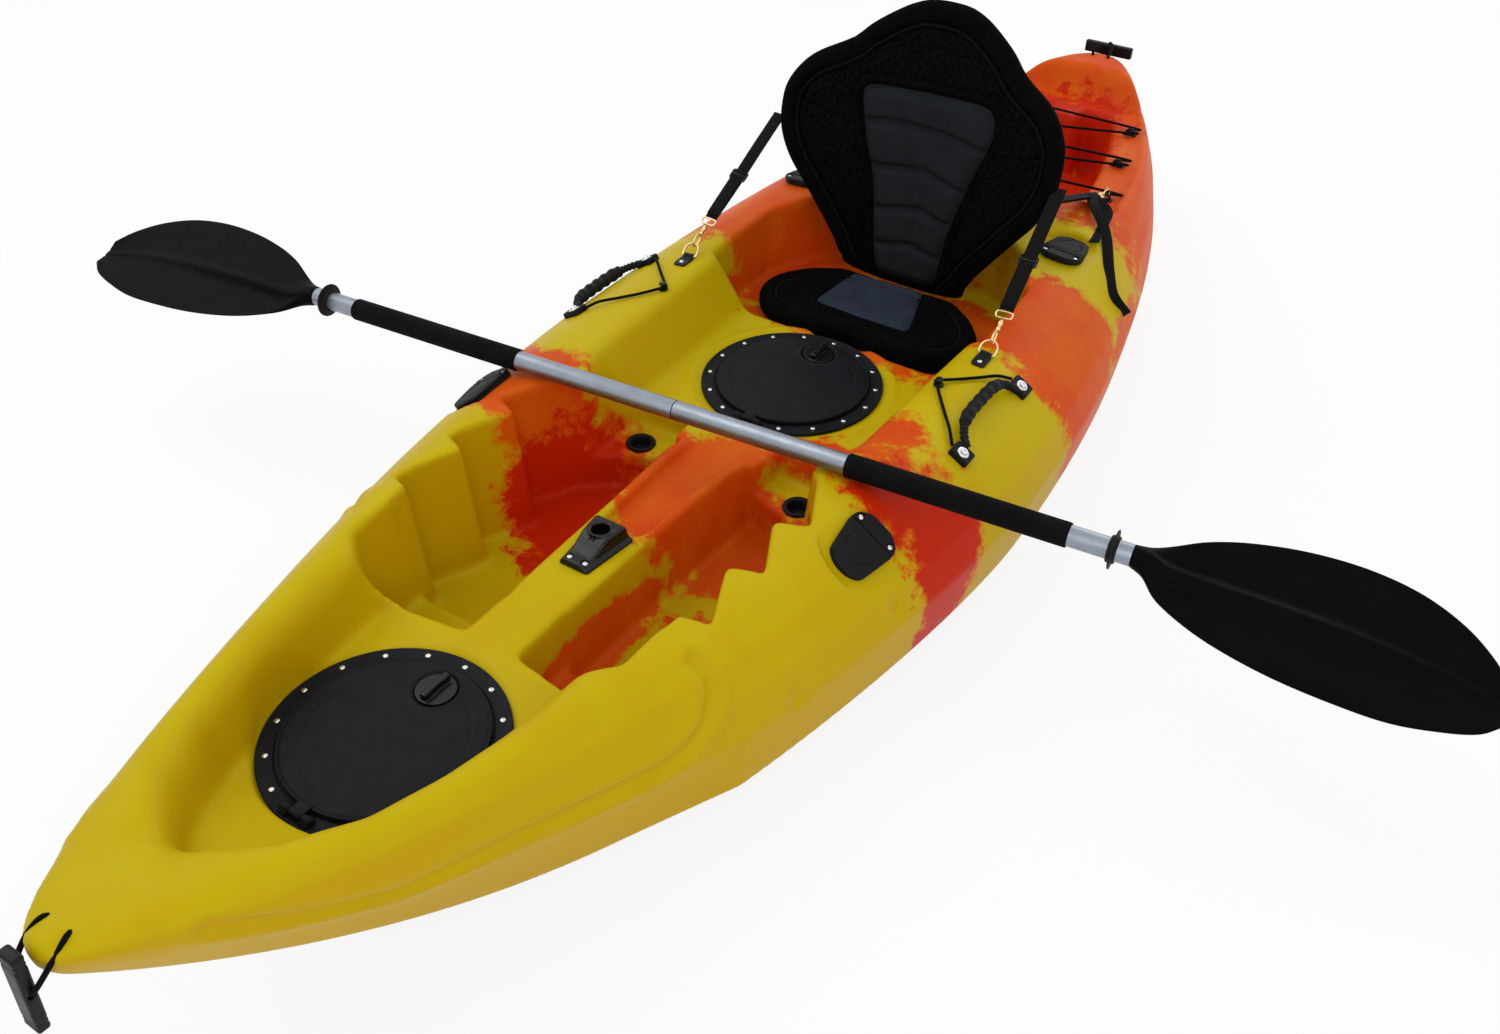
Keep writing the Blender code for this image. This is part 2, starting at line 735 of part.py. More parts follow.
def rod_frames(end, side):
    """Frame of a rod holder's plate on its seat, and frame of its tube."""
    x, y, lean = ROD_HOLDERS[end]
    normal = deck_normal(side * x, y)
    up = Vector((normal.x, lean * ROD_PLATE_LEAN, normal.z)).normalized()
    centre = Vector((side * x, y, deck_height(x, y))) - up * ROD_SEAT_DEPTH
    forward = (0.0, -lean, 0.0)
    tube_up = (side * ROD_TUBE_OUT, lean * ROD_TUBE_LEAN, 1.0)
    return frame_at(centre, up, forward), frame_at(centre, tube_up, forward)


def handle_frame(side):
    """Frame midway between a handle's two pads, on their seats."""
    x = side * HANDLE_X
    normal = deck_normal(x, HANDLE_Y)
    centre = Vector((x, HANDLE_Y, deck_height(x, HANDLE_Y))) - normal * HANDLE_SEAT_DEPTH
    return frame_at(centre, normal, (0.0, 1.0, 0.0))


def deck_cutters(grow):
    """Everything that is sunk into the deck, or the same grown by the wall."""
    tag = "inner" if grow else "outer"
    shallow, deep = well_outlines()
    tools = [
        deck_trough(f"trough_{tag}", grow),
        pocket(f"pan_{tag}", PAN_OUTLINE, DEPTH, PAN_FLOOR, PAN_DRAFT, grow),
        pocket(f"tank_{tag}", TANK_OUTLINE, DEPTH, TANK_FLOOR, TANK_DRAFT, grow),
        pocket(f"tray_{tag}", TRAY_OUTLINE, CONSOLE_Z, TRAY_FLOOR, TRAY_DRAFT, grow),
        pocket(f"stern_recess_{tag}", RECESS_OUTLINE, RECESS_FLOOR + RECESS_EDGE, RECESS_FLOOR,
               RECESS_DRAFT, grow),
    ]
    for y in (FRONT_HATCH_Y, CENTRE_HATCH_Y):
        radius = HATCH_RING_RADIUS + HATCH_SEAT_MARGIN + grow
        place = shift(0.0, y, 0.0)
        tools.append(rod(f"hatch_seat_{tag}", radius, hatch_seat_z(y) - grow, CUT_TOP, "hull",
                         place, sides=HATCH_SIDES))
    for side in (1, -1):
        name = side_name(side)
        tools.append(pocket(f"well_{name}_{tag}", deep, DEPTH, WELL_FLOOR, WELL_DRAFT, grow, side))
        tools.append(pocket(f"step_{name}_{tag}", shallow, DEPTH, WELL_STEP_FLOOR, WELL_DRAFT,
                            grow, side))
        tools.append(pocket(f"scupper_floor_{name}_{tag}", SCUPPER_OUTLINE, SEAT_DECK,
                            SCUPPER_FLOOR, SCUPPER_DRAFT, grow, side))
        tools.append(rod(f"scupper_{name}_{tag}", SCUPPER_RADIUS + grow, -0.02, SEAT_DECK, "hull",
                         shift(side * SCUPPER_X, SCUPPER_Y, 0.0)))
        for end in ROD_HOLDERS:
            plate, _ = rod_frames(end, side)
            tools.append(rod(f"{end}_rod_seat_{name}_{tag}", ROD_SEAT_RADIUS + grow, -grow, 0.08,
                             "hull", plate, sides=20))
    return tools


def tip_place(end):
    """Centre of a tip's cross hole: y and z."""
    y = TIP_HOLE_INSET[end] - BOW_LENGTH if end == "bow" else STERN_LENGTH - TIP_HOLE_INSET[end]
    return y, deck_edge(y) - TIP_HOLE_DROP[end]


def tip_hole(end, half_width):
    """Cross hole for a toggle's cord."""
    y, z = tip_place(end)
    at = shift(0.0, y, z) @ turn_about("Y", 90)
    return rod(f"{end}_hole", TOGGLE_HOLE_RADIUS, -half_width, half_width, "hull", at, sides=10)


def make_hull():
    """Hollow hull: outer body, less the deck's hollows, less what is inside the wall."""
    hull = hull_body("hull", -BOW_LENGTH, STERN_LENGTH, HULL_STATIONS, 0.0)
    cavity = hull_body("cavity", CAVITY_BOW_END, CAVITY_STERN_END, CAVITY_STATIONS, WALL)
    cut(cavity, *deck_cutters(WALL))
    cut(hull, *deck_cutters(0.0))
    cut(hull, cavity)
    for y in (FRONT_HATCH_Y, CENTRE_HATCH_Y):
        radius = HATCH_RING_BORE + HATCH_NECK + RUNNING_FIT
        seat = hatch_seat_z(y)
        cut(hull, rod("hatch_hole", radius, seat - 3 * WALL, seat + WALL, "hull",
                      shift(0.0, y, 0.0), sides=HATCH_SIDES))
    for side in (1, -1):
        for end in ROD_HOLDERS:
            _, bore = rod_frames(end, side)
            cut(hull, rod("rod_hole", ROD_TUBE_RADIUS + ROD_HOLE_CLEARANCE, -0.06, 0.04, "hull",
                          bore))
        middle = handle_frame(side)
        for along in (-1, 1):
            at = middle @ shift(0.0, along * HANDLE_SPACING / 2, HANDLE_PAD[2] / 2)
            size = (HANDLE_PAD[0] + 0.004, HANDLE_PAD[1] + 0.004, HANDLE_PAD[2])
            cut(hull, box("handle_seat", size, "hull", at))
    cut(hull, tip_hole("bow", 0.1), tip_hole("stern", 0.2))
    return hull


# Hatches
def hinge_barrel(name, radius, width, centre_x, at, parent, finish="black_plastic", sides=10):
    """Part of a hinge along X."""
    place = at @ shift(centre_x, 0.0, 0.0) @ turn_about("Y", 90)
    return rod(name, radius, -width / 2, width / 2, finish, place, parent, sides=sides)


def make_hatch(name, y):
    """Ring, hinged lid and turning knob of one hatch."""
    base = guide(f"{name}_hatch", shift(0.0, y, hatch_seat_z(y)))
    bore = HATCH_RING_BORE
    ring = turned(f"{name}_hatch_ring", (
        (bore, HATCH_FLANGE), (HATCH_RING_RADIUS - 0.002, HATCH_FLANGE),
        (HATCH_RING_RADIUS, HATCH_FLANGE - 0.002), (HATCH_RING_RADIUS, GAP),
        (bore + HATCH_NECK, GAP), (bore + HATCH_NECK, -HATCH_NECK_DEPTH),
        (bore, -HATCH_NECK_DEPTH)), "black_plastic", IDENTITY, base, HATCH_SIDES)
    axis = shift(0.0, -HINGE_RADIUS, HINGE_HEIGHT)
    reach = LID_KNUCKLE_WIDTH / 2 + RUNNING_FIT + RING_KNUCKLE_WIDTH / 2
    for side in (1, -1):
        join(ring, hinge_barrel("ring_knuckle", KNUCKLE_RADIUS, RING_KNUCKLE_WIDTH, side * reach,
                                axis, base))
    join(ring, hinge_barrel("hinge_pin", HINGE_PIN_RADIUS, 2 * reach, 0.0, axis, base, sides=8))
    rivet_circle = (HATCH_RING_RADIUS + LID_RADIUS) / 2
    for index in range(RIVET_COUNT):
        angle = math.radians(360 * (index + 1) / (RIVET_COUNT + 1) - 90)
        at = shift(rivet_circle * math.cos(angle), rivet_circle * math.sin(angle), 0.0)
        join(ring, rod("rivet", RIVET_RADIUS, HATCH_FLANGE - 0.001, HATCH_FLANGE + RIVET_HEIGHT,
                       "steel", at, base, sides=6, top=RIVET_RADIUS * 0.6))

    lid_guide = guide(f"{name}_hatch_hinge", axis, base)
    back = axis.inverted()
    under = LID_TOP - LID_PLATE
    rim = HATCH_FLANGE + GAP
    lid = turned(f"{name}_hatch_lid", (
        (0.0, LID_TOP), (LID_GROOVE_RADIUS - LID_GROOVE, LID_TOP),
        (LID_GROOVE_RADIUS, LID_TOP - 0.002), (LID_GROOVE_RADIUS + LID_GROOVE, LID_TOP),
        (LID_RADIUS - 0.0015, LID_TOP), (LID_RADIUS, LID_TOP - 0.0015), (LID_RADIUS, rim),
        (LID_PLUG_RADIUS, rim), (LID_PLUG_RADIUS, -LID_PLUG_DEPTH),
        (LID_PLUG_RADIUS - LID_PLUG_WALL, -LID_PLUG_DEPTH),
        (LID_PLUG_RADIUS - LID_PLUG_WALL, under), (0.0, under)),
        "black_plastic", back, lid_guide, HATCH_SIDES, closed=False)
    arm_length = HINGE_RADIUS - LID_RADIUS + 0.004
    arm = box("hinge_arm", (LID_KNUCKLE_WIDTH, arm_length, LID_KNUCKLE_RADIUS), "black_plastic",
              shift(0.0, arm_length / 2, LID_KNUCKLE_RADIUS / 2), lid_guide)
    knuckle = hinge_barrel("lid_knuckle", LID_KNUCKLE_RADIUS, LID_KNUCKLE_WIDTH, 0.0, IDENTITY,
                           lid_guide)
    join(lid, arm, knuckle)
    knob_at = back @ shift(0.0, KNOB_OFFSET, LID_TOP)
    cut(lid,
        hinge_barrel("lid_hinge_bore", HINGE_BORE_RADIUS, LID_KNUCKLE_WIDTH + 0.01, 0.0,
                     IDENTITY, lid_guide, sides=8),
        rod("knob_dish", KNOB_DISH_RADIUS, -KNOB_DISH_DEPTH, 0.01, "black_plastic", knob_at,
            lid_guide, sides=20),
        rod("knob_hole", KNOB_SHAFT_RADIUS + RUNNING_FIT, -0.02, 0.01, "black_plastic", knob_at,
            lid_guide, sides=10))

    disc_low = GAP - KNOB_DISH_DEPTH
    disc_top = disc_low + KNOB_DISC
    knob = rod(f"{name}_hatch_knob", KNOB_RADIUS, disc_low, disc_top, "black_plastic", knob_at,
               lid_guide, sides=16)
    grip_x, grip_y, grip_z = KNOB_GRIP
    grip = box("knob_grip", (grip_x, grip_y, grip_z + 0.001), "black_plastic",
               knob_at @ shift(0.0, 0.0, disc_top + grip_z / 2 - 0.0005), lid_guide)
    latch_x, latch_y, latch_z = KNOB_LATCH
    latch_top = -LID_PLATE - GAP
    shaft = rod("knob_shaft", KNOB_SHAFT_RADIUS, latch_top - latch_z, disc_low + 0.001,
                "black_plastic", knob_at, lid_guide, sides=10)
    latch = box("knob_latch", (latch_x, latch_y, latch_z), "black_plastic",
                knob_at @ shift(0.0, latch_y / 2 - latch_x / 2, latch_top - latch_z / 2), lid_guide)
    join(knob, grip, shaft, latch)


# Rod holders
def flap_outline():
    """Part of the cover's outline that lifts: all of it on the mouth's side of the hinge."""
    return [point for point in ROD_PLATE_OUTLINE if point[1] < ROD_HINGE_Y] + [
        (0.0395, ROD_HINGE_Y - GAP), (-0.0395, ROD_HINGE_Y - GAP)]


def land_outline():
    """Part of the cover's outline that the screws hold down."""
    return [(-0.0395, ROD_HINGE_Y), (0.0395, ROD_HINGE_Y)] + [
        point for point in ROD_PLATE_OUTLINE if point[1] > ROD_HINGE_Y]


def make_rod_holder(end, side):
    """Flanged tube in the hull and the cover that folds off its mouth."""
    plate_frame, tube_frame = rod_frames(end, side)
    name = f"{end}_rod_holder_{side_name(side)}"
    plate_at = plate_frame @ shift(0.0, 0.0, GAP)
    holder = as_mesh(slab(name, ROD_PLATE_OUTLINE, ROD_PLATE_THICKNESS, "black_plastic", plate_at))
    land_z = ROD_PLATE_THICKNESS + ROD_FLAP_THICKNESS
    land = as_mesh(slab("land", land_outline(), ROD_FLAP_THICKNESS + 0.001, "rubber",
                        plate_at @ shift(0.0, 0.0, ROD_PLATE_THICKNESS - 0.001)))
    body = rod("tube", ROD_TUBE_RADIUS, -ROD_TUBE_LENGTH, 0.02, "black_plastic", tube_frame,
               sides=14)
    trim = 2 * ROD_SEAT_RADIUS
    cut(body, box("trim", (trim, trim, trim), "black_plastic",
                  plate_at @ shift(0.0, 0.0, ROD_PLATE_THICKNESS - 0.0005 + trim / 2)))
    join(holder, body, land)
    for x in (-ROD_SCREW_X, ROD_SCREW_X):
        head = rod("screw", SCREW_HEAD_RADIUS, land_z - 0.001, land_z + SCREW_HEAD_HEIGHT, "steel",
                   plate_at @ shift(x, ROD_SCREW_Y, 0.0), sides=8, top=SCREW_HEAD_RADIUS * 0.6)
        join(holder, head)
    cut(holder, rod("bore", ROD_BORE_RADIUS, ROD_TUBE_BASE - ROD_TUBE_LENGTH, 0.03,
                    "black_plastic", tube_frame, sides=14))

    hinge = guide(f"{name}_cap_hinge", plate_at @ shift(0.0, ROD_HINGE_Y, land_z))
    drop = ROD_FLAP_THICKNESS - GAP
    flap_at = shift(0.0, -ROD_HINGE_Y, -drop)
    cap = as_mesh(slab(name.replace("holder", "holder_cap"), flap_outline(), drop, "rubber",
                       flap_at, hinge))
    plug = rod("flap_plug", ROD_FLAP_PLUG_RADIUS, -ROD_FLAP_PLUG_DEPTH, 0.001, "rubber", flap_at,
               hinge, sides=12)
    join(cap, plug)


def make_swivel_base():
    """Wedge-shaped base with a round socket for a swivelling rod holder."""
    at = shift(0.0, SWIVEL_Y, CONSOLE_Z + GAP)
    half = SWIVEL_LENGTH / 2
    bow, aft = SWIVEL_BOW_WIDTH / 2, SWIVEL_AFT_WIDTH / 2
    rings = []
    for z, share, length in ((0.0, 1.0, 1.0), (SWIVEL_FOOT, 1.0, 1.0),
                             (SWIVEL_HEIGHT, SWIVEL_TOP_SHARE, 0.86)):
        low = -half * length if z < SWIVEL_HEIGHT else -half * 0.45
        rings.append([(-bow * share, low, z), (bow * share, low, z),
                      (aft * share, half * length, z), (-aft * share, half * length, z)])
    base = loft("swivel_rod_base", rings, "black_plastic", at)
    for x in (-SWIVEL_SCREW_X, SWIVEL_SCREW_X):
        join(base, rod("swivel_screw", SCREW_HEAD_RADIUS, SWIVEL_FOOT - 0.001,
                       SWIVEL_FOOT + 0.004, "steel", at @ shift(x, SWIVEL_SCREW_Y, 0.0), sides=8))
    cut(base, rod("socket", SOCKET_RADIUS, SWIVEL_HEIGHT - SOCKET_DEPTH, SWIVEL_HEIGHT + 0.01,
                  "black_plastic", at @ shift(0.0, SOCKET_Y, 0.0)))


def make_scupper_plug(side):
    """Rubber plug dished in the middle, standing in its scupper."""
    at = shift(side * SCUPPER_X, SCUPPER_Y, SCUPPER_FLOOR + GAP)
    body = SCUPPER_RADIUS - RUNNING_FIT
    turned(f"scupper_plug_{side_name(side)}", (
        (0.0, PLUG_FLANGE - PLUG_DISH_DEPTH), (PLUG_DISH_RADIUS - 0.002, PLUG_FLANGE - PLUG_DISH_DEPTH),
        (PLUG_DISH_RADIUS, PLUG_FLANGE), (PLUG_FLANGE_RADIUS - 0.001, PLUG_FLANGE),
        (PLUG_FLANGE_RADIUS, 0.0), (body, 0.0), (body - 0.001, -PLUG_LENGTH),
        (0.0, -PLUG_LENGTH)), "rubber", at, sides=16, closed=False)


# Carry handles and paddle keepers
def make_handle(side):
    """Two pads with pins and the grip that swings between them."""
    middle = handle_frame(side)
    name = side_name(side)
    inner = HANDLE_SPACING / 2 - HANDLE_PAD[1] / 2
    for end, along in (("bow", -1), ("stern", 1)):
        at = middle @ shift(0.0, along * HANDLE_SPACING / 2, GAP)
        pad = box(f"carry_handle_pad_{end}_{name}", HANDLE_PAD, "black_plastic",
                  at @ shift(0.0, 0.0, HANDLE_PAD[2] / 2))
        bolt = rod("bolt", BOLT_RADIUS, HANDLE_PAD[2] - 0.001, HANDLE_PAD[2] + BOLT_HEIGHT, "steel",
                   at, sides=12, top=BOLT_RADIUS * 0.6)
        pin_at = middle @ shift(0.0, along * inner, HANDLE_PIN_HEIGHT) @ turn_about("X", 90 * along)
        pin = rod("handle_pin", HANDLE_PIN_RADIUS, -0.002, HANDLE_PIN_LENGTH, "steel", pin_at,
                  sides=8)
        join(pad, bolt, pin)

    axis = guide(f"carry_handle_axis_{name}", middle @ shift(0.0, 0.0, HANDLE_PIN_HEIGHT)
                 @ turn_about("Y", HANDLE_REST[side]))
    reach = inner - RUNNING_FIT
    arch = reach - HANDLE_END_LENGTH
    points = [(0.0, -reach, 0.0), (0.0, -arch, 0.0)]
    radii = [HANDLE_END_RADIUS, HANDLE_END_RADIUS]
    steps = 12
    for index in range(1, steps):
        along = -1.0 + 2.0 * index / steps
        rise = (1 - along ** 4) ** 0.8
        points.append((0.0, along * arch, HANDLE_RISE * rise))
        radii.append(HANDLE_END_RADIUS + (HANDLE_GRIP_RADIUS - HANDLE_END_RADIUS) * rise)
    points += [(0.0, arch, 0.0), (0.0, reach, 0.0)]
    radii += [HANDLE_END_RADIUS, HANDLE_END_RADIUS]
    grip = as_mesh(tube(f"carry_handle_grip_{name}", points, 1.0, "rubber", parent=axis,
                        radii=radii))
    for along in (-1, 1):
        at = shift(0.0, along * reach, 0.0) @ turn_about("X", 90 * along)
        cut(grip, rod("handle_bore", HANDLE_BORE_RADIUS, -0.005, HANDLE_PIN_LENGTH + 0.001,
                      "rubber", at, axis, sides=8))


def make_keeper(side):
    """Small hook on the deck and the shock cord led to it from both handle pads."""
    name = side_name(side)
    x = side * KEEPER_X
    hook_at = frame_at((x, KEEPER_Y, deck_height(x, KEEPER_Y) + GAP), deck_normal(x, KEEPER_Y),
                       (0.0, 1.0, 0.0))
    cord_z = KEEPER_BASE + 0.0007 + SHOCK_CORD_RADIUS
    head_low = cord_z + SHOCK_CORD_RADIUS + 0.0007
    turned(f"paddle_keeper_hook_{name}", (
        (0.0, head_low + KEEPER_HEAD), (KEEPER_HEAD_RADIUS * 0.7, head_low + KEEPER_HEAD),
        (KEEPER_HEAD_RADIUS, head_low), (KEEPER_POST_RADIUS, head_low),
        (KEEPER_POST_RADIUS, KEEPER_BASE), (KEEPER_BASE_RADIUS, KEEPER_BASE),
        (KEEPER_BASE_RADIUS, 0.0), (0.0, 0.0)), "black_plastic", hook_at, sides=12, closed=False)
    bend = KEEPER_POST_RADIUS + SHOCK_CORD_RADIUS + RUNNING_FIT
    middle = handle_frame(side)
    face = HANDLE_PAD[0] / 2 + GAP
    ends = []
    for along in (-1, 1):
        for away in (face, face + 2 * SHOCK_CORD_RADIUS):
            ends.append(middle @ Vector((-side * away, along * HANDLE_SPACING / 2,
                                         HANDLE_PAD[2] / 2)))
    turn = []
    for degrees in range(-75, 76, 30):
        angle = math.radians(degrees)
        turn.append(hook_at @ Vector((-side * bend * math.cos(angle), bend * math.sin(angle),
                                      cord_z)))
    points = ends[:2]
    for share in KEEPER_LEAD:
        points.append(lead(ends[1], turn[0], share))
    points += turn
    for share in reversed(KEEPER_LEAD):
        points.append(lead(ends[3], turn[-1], share))
    points += [ends[3], ends[2]]
    tube(f"paddle_keeper_{name}", points, SHOCK_CORD_RADIUS, "cord")


def lead(start, end, share):
    """Point on a cord's run, held clear above the deck that it crosses."""
    point = start.lerp(end, share)
    floor = deck_height(point.x, point.y) + KEEPER_LIFT
    return Vector((point.x, point.y, max(point.z, floor)))


# D-rings, snap hooks and seat straps
def tab_frame(side):
    """Frame of a D-ring tab on the deck."""
    x = side * TAB_X
    return frame_at((x, TAB_Y, deck_height(x, TAB_Y) + GAP), deck_normal(x, TAB_Y),
                    (0.0, 1.0, 0.0))


def d_frame(side):
    """Frame of a D-ring: origin on its straight bar, Y towards the top of its bow."""
    size = TAB_SIZE
    return tab_frame(side) @ shift(0.0, size[1] / 2, TAB_BARREL_RADIUS) @ turn_about("X", D_ANGLE)


def make_d_ring(side):
    """Tab screwed to the deck and the ring in its barrel."""
    name = side_name(side)
    at = tab_frame(side)
    size = TAB_SIZE
    tab = box(f"d_ring_tab_{name}", size, "black_plastic", at @ shift(0.0, 0.0, size[2] / 2))
    barrel_at = at @ shift(0.0, size[1] / 2, TAB_BARREL_RADIUS) @ turn_about("Y", 90)
    half = TAB_BARREL_WIDTH / 2
    barrel = rod("tab_barrel", TAB_BARREL_RADIUS, -half, half, "black_plastic", barrel_at, sides=12)
    rivet = rod("tab_rivet", SCREW_HEAD_RADIUS, size[2] - 0.001, size[2] + SCREW_HEAD_HEIGHT,
                "steel", at @ shift(0.0, -size[1] / 4, 0.0), sides=8, top=SCREW_HEAD_RADIUS * 0.6)
    join(tab, barrel, rivet)
    cut(tab, rod("tab_bore", TAB_BARREL_BORE, -0.02, 0.02, "black_plastic", barrel_at, sides=10))
    points = [(-D_HALF_WIDTH, 0.0, 0.0), (0.0, 0.0, 0.0), (D_HALF_WIDTH, 0.0, 0.0)]
    centre = D_LENGTH - D_HALF_WIDTH
    for degrees in range(0, 181, 30):
        angle = math.radians(degrees)
        points.append((D_HALF_WIDTH * math.cos(angle), centre + D_HALF_WIDTH * math.sin(angle), 0.0))
    tube(f"d_ring_{name}", points, D_WIRE, "brass", d_frame(side), cyclic=True, detail=1)


def oval(half_x, length, count=10):
    """Closed loop in the XZ plane, standing on the origin along Z."""
    points = []
    for index in range(count):
        angle = 2 * math.pi * index / count
        points.append((half_x * math.cos(angle), 0.0, length / 2 * (1 + math.sin(angle))))
    return points


def make_snap_hook(name, at, swivel=0):
    """Hook with its loop at the origin, a swivel body and an eye for the strap."""
    loop_half, loop_length = HOOK_LOOP
    hook = as_mesh(tube(name, oval(loop_half, loop_length), HOOK_WIRE, "brass", at, cyclic=True,
                        detail=1))
    body_top = loop_length + HOOK_BODY
    body = rod("hook_body", HOOK_BODY_RADIUS, loop_length - 0.001, body_top, "brass", at, sides=8,
               top=HOOK_BODY_RADIUS * 0.8)
    eye_half, eye_length = HOOK_EYE
    corners = ((-eye_half, 0.0), (eye_half, 0.0), (eye_half, eye_length), (-eye_half, eye_length))
    eye_points = [(x, 0.0, body_top + z) for x, z in corners]
    eye = as_mesh(tube("hook_eye", eye_points, HOOK_WIRE, "brass", at @ turn_about("Z", swivel),
                       cyclic=True, detail=1))
    join(hook, body, eye)
    return hook


def hook_frame(start, end, across):
    """Frame of a hook that pulls from one point to another, its eye's bar along a direction."""
    pull = (Vector(end) - Vector(start)).normalized()
    side_way = Vector(across)
    side_way = (side_way - pull * side_way.dot(pull)).normalized()
    y_axis = pull.cross(side_way)
    rotation = Matrix((side_way, y_axis, pull)).transposed()
    return Matrix.Translation(start) @ rotation.to_4x4()


def band(name, start, end, broad):
    """Flat webbing pulled straight from one point to another, its width near a direction."""
    run = (Vector(end) - Vector(start)).normalized()
    wide = Vector(broad)
    wide = (wide - run * wide.dot(run)).normalized() * STRAP_WIDTH / 2
    thick = wide.cross(run).normalized() * STRAP_THICKNESS / 2
    rings = []
    for share in (0.0, 0.5, 1.0):
        centre = Vector(start).lerp(Vector(end), share)
        rings.append([centre - wide + thick, centre + wide + thick, centre + wide - thick,
                      centre - wide - thick])
    return loft(name, rings, "fabric")


def back_half_width(height):
    """Half width of the seat's back at a height above its foot."""
    for (h0, w0), (h1, w1) in zip(BACK_PROFILE, BACK_PROFILE[1:]):
        if h0 <= height <= h1:
            return w0 + (w1 - w0) * (height - h0) / (h1 - h0)
    return BACK_PROFILE[-1][1]


def seat_hinge():
    """Line that the back folds about, at the cushion's top rear edge: y and z."""
    scale, height = PAD_RINGS[3]
    half = (PAD_AFT_Y - PAD_BOW_Y) / 2
    return PAD_AFT_Y - half * (1 - scale) + GAP, PAN_FLOOR + height + 2 * GAP


def back_rear_y(x, height):
    """Rear face of the back: it leans, and its wings come forward."""
    hinge_y, _ = seat_hinge()
    share = height / BACK_LEAN_AT
    lean = BACK_LEAN[0] * share + BACK_LEAN[1] * share ** 2
    return hinge_y + BACK_THICKNESS + lean - BACK_WRAP * (x / BACK_WRAP_AT) ** 2


def make_straps(side):
    """Snap hooks and webbing, forward to the D-ring and aft to the pad eye."""
    name = side_name(side)
    _, hinge_z = seat_hinge()
    top_of_hook = HOOK_LOOP[1] + HOOK_BODY + HOOK_EYE[1] + HOOK_WIRE + GAP

    widest = max(half for _, half in BACK_PROFILE)
    edge = widest + 4 * GAP + STRAP_THICKNESS / 2
    middle_y = back_rear_y(widest, FRONT_STRAP_HEIGHT) - BACK_THICKNESS / 2
    wing = Vector((side * edge, middle_y, hinge_z + FRONT_STRAP_HEIGHT))
    ring_top = d_frame(side) @ Vector((0.0, D_LENGTH, 0.0))
    pull = (wing - ring_top).normalized()
    hook_at = hook_frame(ring_top - pull * (D_WIRE + HOOK_WIRE + 0.0015), wing, (1.0, 0.0, 0.0))
    hook_at = hook_at @ turn_about("Z", 90)
    make_snap_hook(f"front_snap_hook_{name}", hook_at)
    band(f"front_seat_strap_{name}", hook_at @ Vector((0.0, 0.0, top_of_hook)), wing,
         (0.0, 1.0, -1.0))

    strap_x = side * REAR_STRAP_X
    rear_y = back_rear_y(REAR_STRAP_X, REAR_STRAP_HEIGHT)
    back = Vector((strap_x, rear_y + REAR_STRAP_STANDOFF, hinge_z + REAR_STRAP_HEIGHT))
    eye_at = eye_frame(*PAD_EYES[-1], side)
    wire = eye_at @ Vector((HOOK_IN_EYE * side, 0.0, EYE_HEIGHT))
    pull = (back - wire).normalized()
    hook_at = hook_frame(wire - pull * (EYE_WIRE + HOOK_WIRE + 0.0012), back, (0.0, 0.0, 1.0))
    make_snap_hook(f"rear_snap_hook_{name}", hook_at, 90)
    band(f"rear_seat_strap_{name}", hook_at @ Vector((0.0, 0.0, top_of_hook)), back,
         (1.0, 0.0, 0.0))


# Seat
def make_seat_pad():
    """Cushion with a crown, drawn-in sides and a channel inside its border."""
    right = list(PAD_OUTLINE)
    left = [(-x, y) for x, y in reversed(right) if x > 0]
    outline = right + left
    centre_y = (PAD_BOW_Y + PAD_AFT_Y) / 2
    rings = []
    for scale, height in PAD_RINGS:
        ring = []
        for x, y in outline:
            ring.append((x * scale, centre_y + (y - centre_y) * scale, PAN_FLOOR + GAP + height))
        rings.append(ring)
    return loft("seat_pad", rings, "fabric")


def back_rows():
    """Heights of the back's rows: its outline's points and both lips of each channel."""
    rows = {height for height, _ in BACK_PROFILE} | {-BACK_SKIRT}
    pitch = (PANEL_TOP - PANEL_BOTTOM) / PANEL_CHANNELS
    for index in range(PANEL_CHANNELS + 1):
        middle = PANEL_BOTTOM + index * pitch
        rows = {row for row in rows if abs(row - middle) > CHANNEL_WIDTH or row <= 0.0}
        rows |= {middle - CHANNEL_WIDTH / 2, middle, middle + CHANNEL_WIDTH / 2}
    return sorted(rows)


def in_channel(height):
    """Whether a row runs along the bottom of a channel."""
    pitch = (PANEL_TOP - PANEL_BOTTOM) / PANEL_CHANNELS
    return any(abs(height - PANEL_BOTTOM - index * pitch) < 1e-6
               for index in range(PANEL_CHANNELS + 1))


